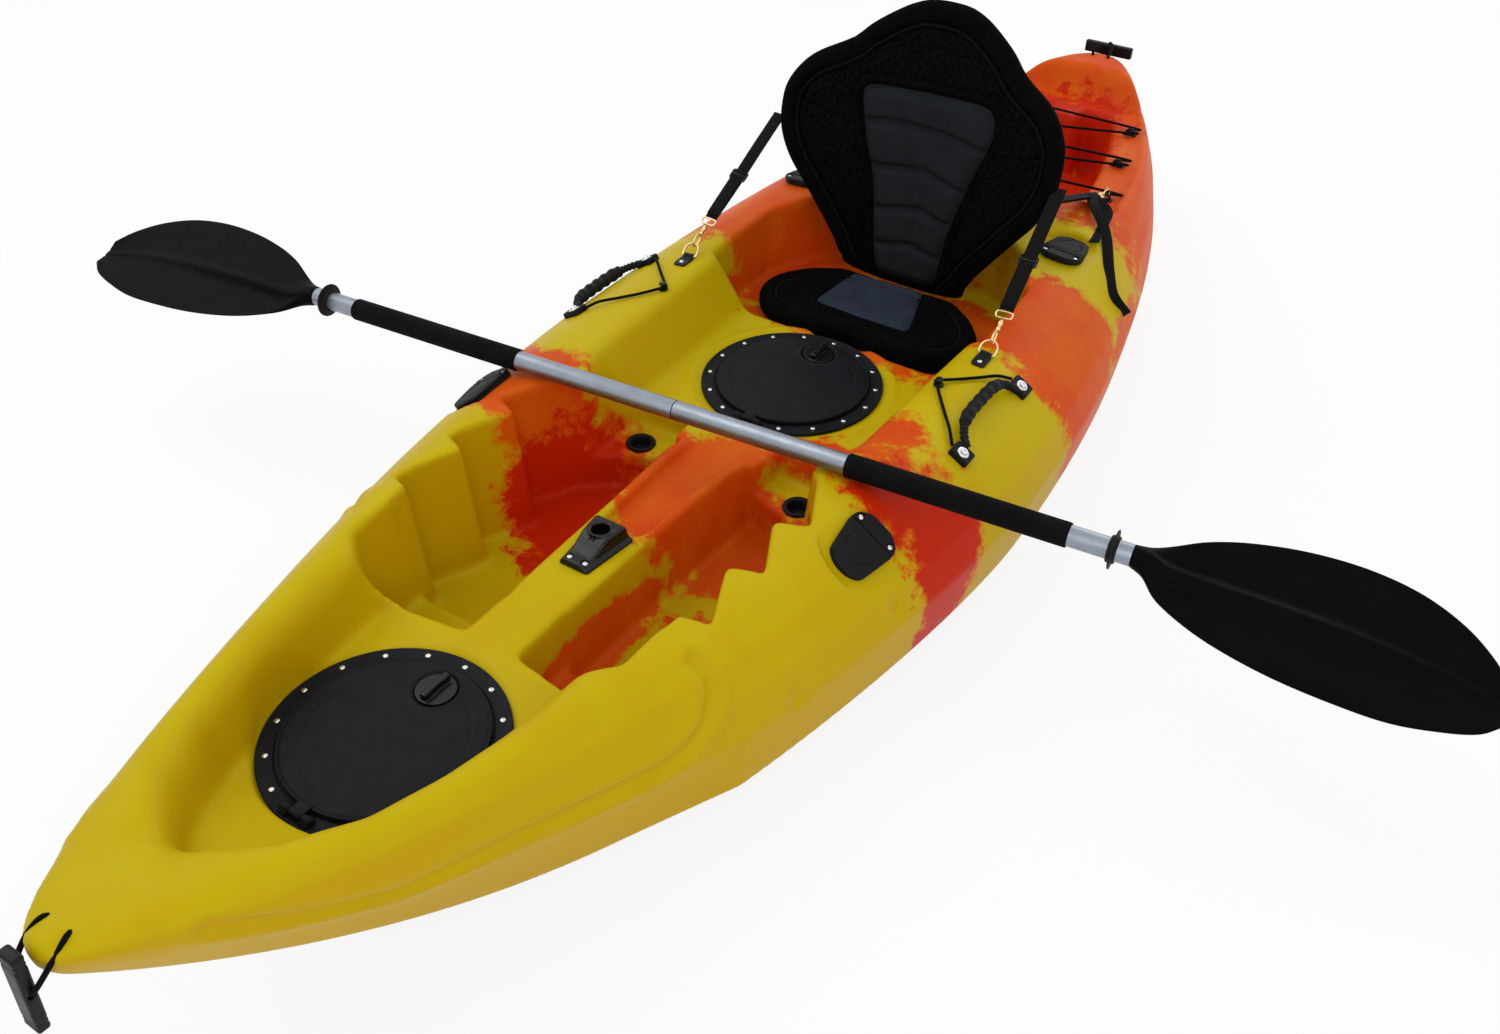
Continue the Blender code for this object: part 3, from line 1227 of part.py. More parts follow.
def make_seat_back():
    """Padded back: crowned, thin at its edges, channelled across its middle panel."""
    hinge_y, hinge_z = seat_hinge()
    shares = (-1.0, -0.86, -PANEL_SHARE - 0.04, -PANEL_SHARE, 0.0, PANEL_SHARE,
              PANEL_SHARE + 0.04, 0.86, 1.0)
    top = BACK_PROFILE[-1][0]
    seam = PAD_AFT_Y + GAP - hinge_y
    rings = []
    for height in back_rows():
        half = back_half_width(max(height, 0.0))
        fade = min(1.0, (top - height) / 0.06 + 0.25, height / 0.05 + 0.55)
        front_row = []
        rear_row = []
        for share in shares:
            edge = abs(share) == 1.0
            rear = back_rear_y(share * half, height) - hinge_y
            depth = BACK_THICKNESS + BACK_CROWN * (1 - share ** 2) * fade
            if edge:
                rear -= (BACK_THICKNESS - BACK_EDGE) / 2
                depth = BACK_EDGE
            groove = abs(share) == PANEL_SHARE + 0.04
            if groove or (abs(share) <= PANEL_SHARE and in_channel(height)):
                depth -= CHANNEL_DEPTH
            front = max(rear - depth, seam - BACK_FOLD_SLOPE * max(height, 0.0))
            front_row.append((share * half, front, height))
            rear_row.append((share * half, rear, height))
        rings.append(front_row + list(reversed(rear_row)))
    hinge = guide("seat_back_hinge", shift(0.0, hinge_y, hinge_z))
    return loft("seat_back", rings, "fabric", parent=hinge)


# Tank well
def eye_frame(x, y, side):
    """Frame of a pad eye on the stern recess's floor, its base's top at z = 0."""
    return shift(side * x, y, RECESS_FLOOR + GAP + EYE_BASE[2])


def make_pad_eyes():
    """Pad eyes along both edges of the tank well and the shock cord laced through them."""
    for side in (1, -1):
        for number, (x, y) in enumerate(PAD_EYES, 1):
            at = eye_frame(x, y, side)
            eye = box(f"pad_eye_{number}_{side_name(side)}", EYE_BASE, "black_plastic",
                      at @ shift(0.0, 0.0, -EYE_BASE[2] / 2))
            points = [(-EYE_HALF_WIDTH, 0.0, -EYE_BASE[2] / 2)]
            for degrees in range(180, -1, -30):
                angle = math.radians(degrees)
                points.append((EYE_HALF_WIDTH * math.cos(angle), 0.0,
                               EYE_HEIGHT - EYE_HALF_WIDTH * 0.45
                               + EYE_HALF_WIDTH * 0.45 * math.sin(angle)))
            points.append((EYE_HALF_WIDTH, 0.0, -EYE_BASE[2] / 2))
            join(eye, as_mesh(tube("eye_wire", points, EYE_WIRE, "black_plastic", at, detail=1)))
    points = []
    for x, y in PAD_EYES:
        for side in (-1, 1):
            at = eye_frame(x, y, side)
            run = -1 if points else 1
            for inward, along in ((0.009, -0.018), (0.0030, -0.006), (0.0030, 0.006),
                                  (0.009, 0.018)):
                points.append(at @ Vector((-side * inward, run * along, EYE_CORD_Z)))
    tube("tank_well_bungee", points, SHOCK_CORD_RADIUS, "cord")


# Toggles
def make_toggle(end, upright):
    """Handle on a loop of cord through the hull's tip."""
    hole_y, hole_z = tip_place(end)
    away = -1 if end == "bow" else 1
    reach_y = away * (TIP_HOLE_INSET[end] + TOGGLE_STANDOFF[end])
    reach_z = TOGGLE_RISE[end]
    axis = guide(f"{end}_axis", shift(0.0, hole_y, hole_z))
    turn = IDENTITY if upright else turn_about("Y", 90)
    middle = shift(0.0, reach_y, reach_z)
    bar = bevel(box(f"{end}_toggle", TOGGLE_BAR, "black_plastic", middle @ turn, axis),
                TOGGLE_BEVEL, 2)
    bore = TOGGLE_CORD_RADIUS + RUNNING_FIT
    bore_turn = turn_about("Y", 90) if upright else IDENTITY
    cut(bar, rod("toggle_bore", bore, -TOGGLE_BAR[0], TOGGLE_BAR[0], "black_plastic",
                 middle @ bore_turn, axis, sides=10))
    wide = half_beam(hole_y) + 0.008
    loop = [(wide * share, 0.0, 0.0) for share in (-1.0, -0.5, 0.0, 0.5, 1.0)]
    through = TOGGLE_BAR[0] / 2 + TOGGLE_CORD_RADIUS + 0.001
    rise = 0.0 if upright else through + TOGGLE_LEAD[end]
    leg = [(0.25, wide + 0.003, 0.3 * rise), (0.6, wide * 0.9, rise), (0.9, 0.022, rise)]
    for share, half_width, up in leg:
        loop.append((half_width, reach_y * share, reach_z * share + up))
    for along in (through, 0.0, -through):
        loop.append((along, reach_y, reach_z) if upright else (0.0, reach_y, reach_z + along))
    for share, half_width, up in reversed(leg):
        loop.append((-half_width, reach_y * share, reach_z * share - up))
    tube(f"{end}_toggle_cord", loop, TOGGLE_CORD_RADIUS, "cord", parent=axis, cyclic=True)


# Paddle
def paddle_frame():
    """Frame at the ferrule, X along the shaft to port, lying on the cockpit's edges."""
    x, y = PADDLE_JOINT
    slope = math.tan(math.radians(PADDLE_HEADING))
    rests = []
    for side in (1, -1):
        rests.append((side * PADDLE_REST_X, SHAFT_RADIUS))
        rests.append((x + side * FOAM_START, FOAM_RADIUS))
    height = max(deck_height(at, y + (at - x) * slope) + radius for at, radius in rests)
    return shift(x, y, height + PADDLE_LIFT) @ turn_about("Z", PADDLE_HEADING)


def make_shaft(side, frame):
    """Half of the shaft with its foam grip; the starboard half carries the ferrule."""
    joint = RUNNING_FIT / 2
    profile = [
        (SHAFT_RADIUS, SHAFT_END), (SHAFT_RADIUS, FOAM_END), (FOAM_RADIUS, FOAM_END - 0.001),
        (FOAM_RADIUS, FOAM_START + 0.001), (SHAFT_RADIUS, FOAM_START), (SHAFT_RADIUS, joint),
    ]
    if side > 0:
        profile += [(SHAFT_BORE, joint), (SHAFT_BORE, SHAFT_END)]
    else:
        ferrule = SHAFT_BORE - FERRULE_CLEARANCE
        inner = ferrule - FERRULE_WALL
        profile += [(ferrule, joint), (ferrule, -FERRULE_LENGTH), (inner, -FERRULE_LENGTH),
                    (inner, 0.02), (SHAFT_BORE, 0.022), (SHAFT_BORE, SHAFT_END)]
    along = turn_about("Y", 90 * side)
    turned(f"paddle_shaft_{side_name(side)}", profile, "aluminium", along, frame, sides=14)


def blade_ring(reach, half, offset, spine, side):
    """Cross-section of a blade: a round stem that flattens, with a spine down the middle."""
    top = (1.0, 0.72, 0.34, 0.12, -0.12, -0.34, -0.72, -1.0)
    flat = min(1.0, max(0.0, (reach - 0.01) / 0.06))
    droop = -BLADE_DROOP * (reach / BLADE_STATIONS[-1][0]) ** 2
    upper = []
    for share in top:
        y = offset + share * half
        round_z = spine * math.sqrt(max(0.0, 1 - share ** 2))
        flat_z = spine if abs(share) < 0.2 else BLADE_EDGE * (1.6 - 0.6 * abs(share))
        if abs(share) == 1.0:
            flat_z = 0.0
        upper.append((y, round_z + (flat_z - round_z) * flat))
    points = [(y, z + droop) for y, z in upper]
    points += [(y, droop - z) for y, z in reversed(upper[1:-1])]
    x = side * (SHAFT_END + GAP + reach)
    ring = [(x, y, z) for y, z in points]
    return ring if side < 0 else list(reversed(ring))


def make_blade(side, frame):
    """Blade with a spigot that plugs into the shaft."""
    rings = [blade_ring(*station, side) for station in BLADE_STATIONS]
    roll = turn_about("X", BLADE_ROLL)
    blade = loft(f"paddle_blade_{side_name(side)}", rings, "black_plastic", roll, frame)
    spigot_at = roll @ turn_about("Y", 90 * side)
    join(blade, rod("blade_spigot", SHAFT_BORE - GAP, SHAFT_END - BLADE_SPIGOT, SHAFT_END + 0.004,
                    "black_plastic", spigot_at, frame, sides=14))


def make_drip_ring(side, frame):
    """Cupped rubber ring that slides on the shaft."""
    bore = SHAFT_RADIUS + GAP
    half = DRIP_WIDTH / 2
    turned(f"drip_ring_{side_name(side)}", (
        (bore, half), (bore + 0.003, half), (DRIP_RADIUS, half * 0.2), (DRIP_RADIUS, -half * 0.5),
        (bore + 0.003, -half * 0.4), (bore, -half)), "rubber",
        turn_about("Y", 90 * side) @ shift(0.0, 0.0, DRIP_AT), frame, sides=14)


def make_paddle():
    """Two-piece paddle lying across the deck."""
    frame = guide("paddle", paddle_frame())
    for side in (1, -1):
        make_shaft(side, frame)
        make_blade(side, frame)
        make_drip_ring(side, frame)


def build():
    """Make every piece of the kayak."""
    make_hull()
    make_hatch("front", FRONT_HATCH_Y)
    make_hatch("centre", CENTRE_HATCH_Y)
    for side in (1, -1):
        for end in ROD_HOLDERS:
            make_rod_holder(end, side)
        make_scupper_plug(side)
        make_handle(side)
        make_keeper(side)
        make_d_ring(side)
        make_straps(side)
    make_swivel_base()
    make_seat_pad()
    make_seat_back()
    make_pad_eyes()
    make_toggle("bow", True)
    make_toggle("stern", False)
    make_paddle()
    bpy.context.view_layer.update()


build()
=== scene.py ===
"""Looks of the sit-on-top fishing kayak, in metres: the bow along -Y, port along +X."""
import math

import bmesh
import bpy
import numpy as np
from mathutils import Matrix, Vector


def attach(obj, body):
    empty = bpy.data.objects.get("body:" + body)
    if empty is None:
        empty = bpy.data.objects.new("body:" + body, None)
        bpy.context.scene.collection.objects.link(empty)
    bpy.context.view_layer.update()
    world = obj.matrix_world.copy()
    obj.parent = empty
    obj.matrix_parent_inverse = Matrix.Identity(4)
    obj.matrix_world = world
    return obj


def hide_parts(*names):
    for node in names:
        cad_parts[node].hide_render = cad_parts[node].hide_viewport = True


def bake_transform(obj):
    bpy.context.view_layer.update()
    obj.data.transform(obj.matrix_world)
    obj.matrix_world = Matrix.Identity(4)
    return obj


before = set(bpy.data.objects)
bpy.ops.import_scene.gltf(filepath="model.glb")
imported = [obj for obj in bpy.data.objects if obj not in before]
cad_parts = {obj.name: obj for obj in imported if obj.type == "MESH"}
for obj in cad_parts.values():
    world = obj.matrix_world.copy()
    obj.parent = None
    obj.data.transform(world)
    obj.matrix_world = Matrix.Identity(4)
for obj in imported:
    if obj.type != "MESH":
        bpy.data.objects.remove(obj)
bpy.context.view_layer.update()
IDENTITY = Matrix.Identity(4)
SIDES = ((1, "port"), (-1, "starboard"))
CELL = 0.005
QUAD_LIMIT = 95000
maximum, minimum, sqrt, interp = np.maximum, np.minimum, np.sqrt, np.interp

# Camera
CAMERA_PLACE = (0.9217, -1.6030, 1.4157)
CAMERA_RIGHT = (0.84059, 0.54148, 0.01420)
CAMERA_UP = (-0.35410, 0.52949, 0.77088)
CAMERA_BACK = (0.40989, -0.65302, 0.63683)
SENSOR = 36.0
FOCAL_PIXELS = 1312.0
IMAGE_WIDTH = 1500.0

# Hull lines
BOW_LENGTH = 1.388
STERN_LENGTH = 1.356
BEAM = 0.896
WIDE_Y = -0.040
DEPTH = 0.278
CROWN = 0.012
BOW_RISE = 0.045
STERN_RISE = 0.061
RISE_POWER = 1.25
NOSE_RADIUS = 0.014
BOW_POWERS = (1.60, 0.74)
STERN_POWERS = (1.99, 0.64)
BOW_FLAT_END = -0.850
BOW_KEEL_RISE = 0.285
STERN_FLAT_END = 0.455
STERN_KEEL_RISE = 0.062
STERN_TURN_LENGTH = 0.096
STERN_TURN_SLOPE = 1.2
STERN_TURN_EASE = 0.030
VEE_START = -0.680
VEE = 0.67
VEE_TOP = 0.875
SECTION_UP = (0.0, 0.03, 0.09, 0.19, 0.35, 0.54, 0.72, 0.875, 1.0, 1.3)
SECTION_ACROSS = (0.32, 0.62, 0.80, 0.97, 0.985, 1.0, 0.955, 0.87, 0.74, 0.43)
SHOULDER_UP = SECTION_UP[8:4:-1]
SHOULDER_ACROSS = SECTION_ACROSS[8:4:-1]
CROWN_ACROSS = (0.0, 0.5, 0.74, 1.2)
CROWN_SHARE = (1.0, 0.6, 0.0, -1.15)

# Deck levels
CONSOLE_Z = 0.205
SEAT_DECK = 0.190
PAN_FLOOR = 0.165
SCUPPER_FLOOR = 0.140
WELL_FLOOR = 0.080
WELL_STEP_FLOOR = 0.115
TRAY_FLOOR = 0.185
TANK_FLOOR = 0.150

# Trough: y, half width of the floor, level of the floor and half width at the edge
TROUGH = (
    (-1.222, 0.004, 0.262, 0.008), (-1.165, 0.056, 0.236, 0.071), (-1.090, 0.104, 0.205, 0.122),
    (-1.000, 0.134, 0.195, 0.151), (-0.920, 0.150, 0.195, 0.167), (-0.800, 0.160, 0.197, 0.180),
    (-0.765, 0.130, 0.205, 0.195), (-0.300, 0.130, 0.205, 0.200), (-0.220, 0.180, 0.190, 0.235),
    (0.170, 0.190, 0.190, 0.248),
)

# Outlines of the pockets, in x and y
WELL_DEEP = (
    (0.0415, -0.690), (0.2235, -0.690), (0.226, -0.660), (0.266, -0.645), (0.225, -0.550),
    (0.271, -0.530), (0.225, -0.437), (0.271, -0.415), (0.227, -0.322), (0.190, -0.293),
    (0.149, -0.256), (0.058, -0.235), (0.049, -0.400),
)
WELL_STEP = (
    (0.040, -0.765), (0.150, -0.780), (0.182, -0.797), (0.218, -0.765), (0.2235, -0.660),
    (0.0415, -0.660),
)
SCUPPER_OUTLINE = (
    (0.070, -0.290), (0.200, -0.330), (0.200, -0.215), (0.170, -0.180), (0.082, -0.180),
)
TRAY_OUTLINE = (
    (-0.033, -0.485), (0.033, -0.485), (0.043, -0.225), (0.030, -0.200), (-0.030, -0.200),
    (-0.043, -0.225),
)
PAN_OUTLINE = (
    (-0.262, 0.144), (0.262, 0.144), (0.262, 0.330), (0.210, 0.430), (0.150, 0.475),
    (-0.150, 0.475), (-0.210, 0.430), (-0.262, 0.330),
)
TANK_OUTLINE = (
    (-0.203, 0.740), (0.203, 0.740), (0.181, 0.900), (0.145, 1.050), (0.110, 1.155),
    (0.038, 1.170), (0.030, 1.105), (-0.030, 1.105), (-0.038, 1.170), (-0.110, 1.155),
    (-0.145, 1.050), (-0.181, 0.900),
)
RECESS_OUTLINE = (
    (-0.292, 0.680), (0.292, 0.680), (0.262, 0.905), (0.215, 1.095), (0.150, 1.210),
    (0.055, 1.245), (-0.055, 1.245), (-0.150, 1.210), (-0.215, 1.095), (-0.262, 0.905),
)

# Pockets: outline, level of its edge, floor, draft and radius of the rim
POCKETS = (
    (RECESS_OUTLINE, DEPTH + 0.030, DEPTH, 0.50, 0.016),
    (PAN_OUTLINE, DEPTH, PAN_FLOOR, 0.04, 0.012),
    (TANK_OUTLINE, DEPTH, TANK_FLOOR, 0.20, 0.014),
    (TRAY_OUTLINE, CONSOLE_Z, TRAY_FLOOR, 0.05, 0.007),
    (WELL_DEEP, DEPTH, WELL_FLOOR, 0.06, 0.010),
    (WELL_STEP, DEPTH, WELL_STEP_FLOOR, 0.06, 0.010),
    (SCUPPER_OUTLINE, SEAT_DECK, SCUPPER_FLOOR, 0.10, 0.008),
)
POCKET_FOOT = 0.014
PLAN_BLUR = 0.005
SHELL = 0.020
ROOM_RADIUS = {"front": 0.18, "centre": 0.22}
HATCH_SEAT_RADIUS = 0.155
HATCH_HOLE_RADIUS = 0.1305
ROD_SEAT_RADIUS = 0.062
ROD_HOLE_RADIUS = 0.026
ROD_HOLE_DEPTH = 0.186
DRAIN_RADIUS = 0.0205
GRID_HALF_WIDTH = 0.475
GRID_TOP = 0.385

# Fittings: y and level of a hatch's seat; x, y and lean of a rod holder
HATCHES = {"front": (-0.950, 0.194), "centre": (-0.010, 0.189)}
ROD_HOLDERS = {"front": (0.339, -0.391, -1.0), "rear": (0.266, 0.490, 1.0)}
SCUPPER = (0.150, -0.235)
HANDLE_SPACING = 0.208
HANDLE_PAD = (0.034, 0.030, 0.012)
PAD_EYES = ((0.170, 1.083), (0.203, 0.920), (0.239, 0.759))
EYE_LEVEL = DEPTH + 0.0028
PADDLE_PLACE = (-0.017, -0.320, 0.307064)
PADDLE_HEADING = 5.26


def shift(x, y, z):
    """Translation matrix."""
    return Matrix.Translation((x, y, z))


def turn_about(axis, degrees):
    """Rotation matrix about a named axis."""
    return Matrix.Rotation(math.radians(degrees), 4, axis)


def frame_at(origin, up, forward):
    """Matrix with its Z along up and its Y as near to forward as that allows."""
    z_axis = Vector(up).normalized()
    y_axis = Vector(forward)
    y_axis = (y_axis - z_axis * y_axis.dot(z_axis)).normalized()
    rotation = Matrix((y_axis.cross(z_axis), y_axis, z_axis)).transposed()
    return Matrix.Translation(origin) @ rotation.to_4x4()


# Hull lines as functions of y
def run_share(y):
    """Share of the way from the widest station to the tip on each side."""
    bow = (WIDE_Y - y) / (WIDE_Y + BOW_LENGTH)
    stern = (y - WIDE_Y) / (STERN_LENGTH - WIDE_Y)
    return np.where(y < WIDE_Y, bow, stern)


def half_beam(y):
    """Half width of the hull."""
    y = np.asarray(y, float)
    share = np.clip(run_share(y), 0.0, 1.0)
    bow = maximum(0.0, 1.0 - share ** BOW_POWERS[0]) ** BOW_POWERS[1]
    stern = maximum(0.0, 1.0 - share ** STERN_POWERS[0]) ** STERN_POWERS[1]
    return NOSE_RADIUS + (BEAM / 2 - NOSE_RADIUS) * np.where(y < WIDE_Y, bow, stern)


def keel_height(y):
    """Height of the keel line."""
    y = np.asarray(y, float)
    bow = maximum(0.0, (BOW_FLAT_END - y) / (BOW_LENGTH + BOW_FLAT_END))
    stern = maximum(0.0, (y - STERN_FLAT_END) / (STERN_LENGTH - STERN_FLAT_END))
    turn = maximum(0.0, y - STERN_LENGTH + STERN_TURN_LENGTH)
    lift = STERN_TURN_SLOPE * turn ** 2 / (turn + STERN_TURN_EASE)
    return BOW_KEEL_RISE * bow ** 2 + STERN_KEEL_RISE * stern ** 2 + lift


def deck_edge(y):
    """Height of the deck's edge."""
    y = np.asarray(y, float)
    share = np.clip(run_share(y), 0.0, 1.1)
    return DEPTH + np.where(y < WIDE_Y, BOW_RISE, STERN_RISE) * share ** RISE_POWER


def deck_height(x, y):
    """Height of the deck over a point, along the section's straight runs."""
    wide = float(half_beam(y))
    low = float(keel_height(y))
    edge = float(deck_edge(y))
    across = abs(x) / wide
    if across <= SHOULDER_ACROSS[0]:
        return edge + CROWN * wide / (BEAM / 2) * float(interp(across, CROWN_ACROSS, CROWN_SHARE))
    return low + (edge - low) * float(interp(across, SHOULDER_ACROSS, SHOULDER_UP))


def deck_normal(x, y):
    """Direction square to the deck."""
    step = 0.002
    across = (deck_height(abs(x) + step, y) - deck_height(abs(x) - step, y)) / (2 * step)
    along = (deck_height(x, y + step) - deck_height(x, y - step)) / (2 * step)
    return Vector((math.copysign(-across, x), -along, 1.0)).normalized()


def on_deck(x, y):
    """Frame of a fitting that lies on the deck."""
    return frame_at((x, y, deck_height(x, y) + 0.0003), deck_normal(x, y), (0.0, 1.0, 0.0))


# Fields and the surface at their zero level
def smooth_max(a, b, radius):
    """Larger of two fields, with the corner between them rounded."""
    blend = maximum(radius - np.abs(a - b), 0.0) / radius
    return maximum(a, b) + blend * blend * radius * 0.25


def smooth_min(a, b, radius):
    """Smaller of two fields, with the corner between them filled."""
    return -smooth_max(-a, -b, radius)


def ease(value, low, high):
    """Smooth step from 0 to 1."""
    share = np.clip((value - low) / (high - low), 0.0, 1.0)
    return share * share * (3 - 2 * share)


def bell(value, width):
    """Smooth hump of unit height."""
    return np.exp(-(value / width) ** 2)


def polygon_distance(points, x, y):
    """Distance in the plane to a closed outline, negative inside."""
    nearest = np.full(x.shape, 1e9)
    inside = np.zeros(x.shape, bool)
    count = len(points)
    for index in range(count):
        ax, ay = points[index]
        bx, by = points[(index + 1) % count]
        ex, ey = bx - ax, by - ay
        if ex * ex + ey * ey < 1e-14:
            continue
        along = np.clip(((x - ax) * ex + (y - ay) * ey) / (ex * ex + ey * ey), 0.0, 1.0)
        nearest = minimum(nearest, (x - ax - ex * along) ** 2 + (y - ay - ey * along) ** 2)
        if ay != by:
            crosses = ((ay > y) != (by > y)) & (x < (bx - ax) * (y - ay) / (by - ay) + ax)
            inside ^= crosses
    return np.where(inside, -1.0, 1.0) * sqrt(nearest)


def plan_distance(outline, x, y):
    """Distance to an outline in the XY plane, spread over a grid."""
    flat_x, flat_y = np.broadcast_arrays(x[:, :, 0], y[:, :, 0])
    return polygon_distance(outline, flat_x, flat_y)[:, :, None]


def line_distance(points, x, y):
    """Distance to an open run of points in the plane."""
    nearest = np.full(x.shape, 1e9)
    for (ax, ay), (bx, by) in zip(points, points[1:]):
        ex, ey = bx - ax, by - ay
        along = np.clip(((x - ax) * ex + (y - ay) * ey) / (ex * ex + ey * ey), 0.0, 1.0)
        nearest = minimum(nearest, (x - ax - ex * along) ** 2 + (y - ay - ey * along) ** 2)
    return sqrt(nearest)


def box_field(x, y, z, centre, half, corner):
    """Distance to a box with rounded edges."""
    away = [np.abs(v - c) - (h - corner) for v, c, h in zip((x, y, z), centre, half)]
    outside = sqrt(sum(maximum(d, 0.0) ** 2 for d in away))
    return outside + minimum(maximum(maximum(away[0], away[1]), away[2]), 0.0) - corner


def rod_field(x, y, z, start, end, radius):
    """Distance to a round-ended rod."""
    a, b = np.array(start, float), np.array(end, float)
    run = b - a
    share = ((x - a[0]) * run[0] + (y - a[1]) * run[1] + (z - a[2]) * run[2]) / run.dot(run)
    share = np.clip(share, 0.0, 1.0)
    return sqrt((x - a[0] - run[0] * share) ** 2 + (y - a[1] - run[1] * share) ** 2
                + (z - a[2] - run[2] * share) ** 2) - radius


def run_distance(run, x, y, z):
    """Distance to a run of points in space."""
    nearest = None
    for start, end in zip(run, run[1:]):
        distance = rod_field(x, y, z, start, end, 0.0)
        nearest = distance if nearest is None else minimum(nearest, distance)
    return nearest


def blur(plane, cells, mirrored=False):
    """Gaussian blur of a map; the first axis may be mirrored at its start."""
    reach = max(1, int(cells * 2.5))
    weights = np.exp(-0.5 * (np.arange(-reach, reach + 1) / cells) ** 2)
    weights /= weights.sum()
    for axis in (0, 1):
        pad = [(0, 0), (0, 0)]
        pad[axis] = (reach, reach)
        wide = np.pad(plane, pad, mode="edge")
        if axis == 0 and mirrored:
            wide[:reach] = plane[:reach][::-1]
        size = plane.shape[axis]
        plane = sum(weight * np.take(wide, range(k, k + size), axis=axis)
                    for k, weight in enumerate(weights))
    return plane


def surface_net(field, origin, step):
    """Points and quads over the zero level of a field sampled on a grid."""
    inside = field < 0.0
    cell_shape = [size - 1 for size in field.shape]
    corners = [(i, j, k) for i in (0, 1) for j in (0, 1) for k in (0, 1)]
    filled = np.zeros(cell_shape, np.int8)
    for corner in corners:
        window = tuple(slice(c, c + n) for c, n in zip(corner, cell_shape))
        filled += inside[window]
    active = (filled > 0) & (filled < 8)
    cells = np.argwhere(active)
    index = np.full(cell_shape, -1, np.int64)
    index[active] = np.arange(len(cells))
    total = np.zeros((len(cells), 3))
    count = np.zeros(len(cells))
    for first in corners:
        for axis in range(3):
            if first[axis]:
                continue
            second = list(first)
            second[axis] = 1
            near = cells + np.array(first)
            far = cells + np.array(second)
            at_near = field[near[:, 0], near[:, 1], near[:, 2]]
            at_far = field[far[:, 0], far[:, 1], far[:, 2]]
            crosses = (at_near < 0.0) != (at_far < 0.0)
            share = at_near[crosses] / (at_near[crosses] - at_far[crosses])
            point = np.tile(np.array(first, float), (len(share), 1))
            point[:, axis] = share
            total[crosses] += point
            count[crosses] += 1
    points = np.array(origin) + (cells + total / count[:, None]) * step
    faces = []
    for axis in range(3):
        one, two = [a for a in range(3) if a != axis]
        size = field.shape[axis] - 1
        low = np.take(inside, range(size), axis=axis)
        high = np.take(inside, range(1, size + 1), axis=axis)
        edges = np.argwhere(low != high)
        keep = (edges[:, one] > 0) & (edges[:, two] > 0)
        keep &= (edges[:, one] < field.shape[one] - 1) & (edges[:, two] < field.shape[two] - 1)
        edges = edges[keep]
        flip = low[edges[:, 0], edges[:, 1], edges[:, 2]]
        quad = []
        for d_one, d_two in ((-1, -1), (0, -1), (0, 0), (-1, 0)):
            cell = edges.copy()
            cell[:, one] += d_one
            cell[:, two] += d_two
            quad.append(index[cell[:, 0], cell[:, 1], cell[:, 2]])
        quad = np.stack(quad, axis=1)
        if axis == 1:
            flip = ~flip
        quad[~flip] = quad[~flip][:, ::-1]
        faces.append(quad)
    return points, np.concatenate(faces)


def mesh_object(name, points, faces, material, smooth=True):
    """Object from arrays of points and faces."""
    data = bpy.data.meshes.new(name)
    data.from_pydata([tuple(point) for point in points], [], [tuple(face) for face in faces])
    data.validate()
    if smooth:
        data.shade_smooth()
    obj = bpy.data.objects.new(name, data)
    if material is not None:
        data.materials.append(material)
    bpy.context.scene.collection.objects.link(obj)
    return obj


def settle(obj, body, slot, *nodes):
    """A finished piece: what it rides on, its material slot, which is not used, and what it replaces."""
    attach(obj, body)
    if nodes:
        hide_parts(*nodes)


def apply_modifiers(obj):
    """Keep the evaluated mesh in place of the modifiers."""
    graph = bpy.context.evaluated_depsgraph_get()
    graph.update()
    data = bpy.data.meshes.new_from_object(obj.evaluated_get(graph))
    obj.modifiers.clear()
    obj.data = data
    return obj


# Camera, floor and light
def make_camera():
    """Camera of the photograph."""
    data = bpy.data.cameras.new("camera")
    data.sensor_width = SENSOR
    data.lens = FOCAL_PIXELS / IMAGE_WIDTH * SENSOR
    data.clip_start = 0.01
    camera = bpy.data.objects.new("camera", data)
    bpy.context.scene.collection.objects.link(camera)
    turn = Matrix((CAMERA_RIGHT, CAMERA_UP, CAMERA_BACK)).transposed()
    camera.matrix_world = Matrix.Translation(CAMERA_PLACE) @ turn.to_4x4()
    bpy.context.scene.camera = camera


def lamp(name, place, target, size, power):
    """Square area lamp aimed at a point."""
    data = bpy.data.lights.new(name, "AREA")
    data.size = size
    data.energy = power
    obj = bpy.data.objects.new(name, data)
    obj.location = place
    aim = Vector(target) - Vector(place)
    obj.rotation_euler = aim.to_track_quat("-Z", "Y").to_euler()
    bpy.context.scene.collection.objects.link(obj)


def seen_directly(nodes, links, low, high):
    """High for rays from the camera and those that metal sends on, low for all others."""
    path = nodes.new("ShaderNodeLightPath")
    total = path.outputs["Is Camera Ray"]
    for name in ("Is Glossy Ray", "Is Transmission Ray"):
        larger = nodes.new("ShaderNodeMath")
        larger.operation = "MAXIMUM"
        links.new(total, larger.inputs[0])
        links.new(path.outputs[name], larger.inputs[1])
        total = larger.outputs[0]
    spread = nodes.new("ShaderNodeMapRange")
    spread.inputs["To Min"].default_value = low
    spread.inputs["To Max"].default_value = high
    links.new(total, spread.inputs["Value"])
    return spread.outputs["Result"]


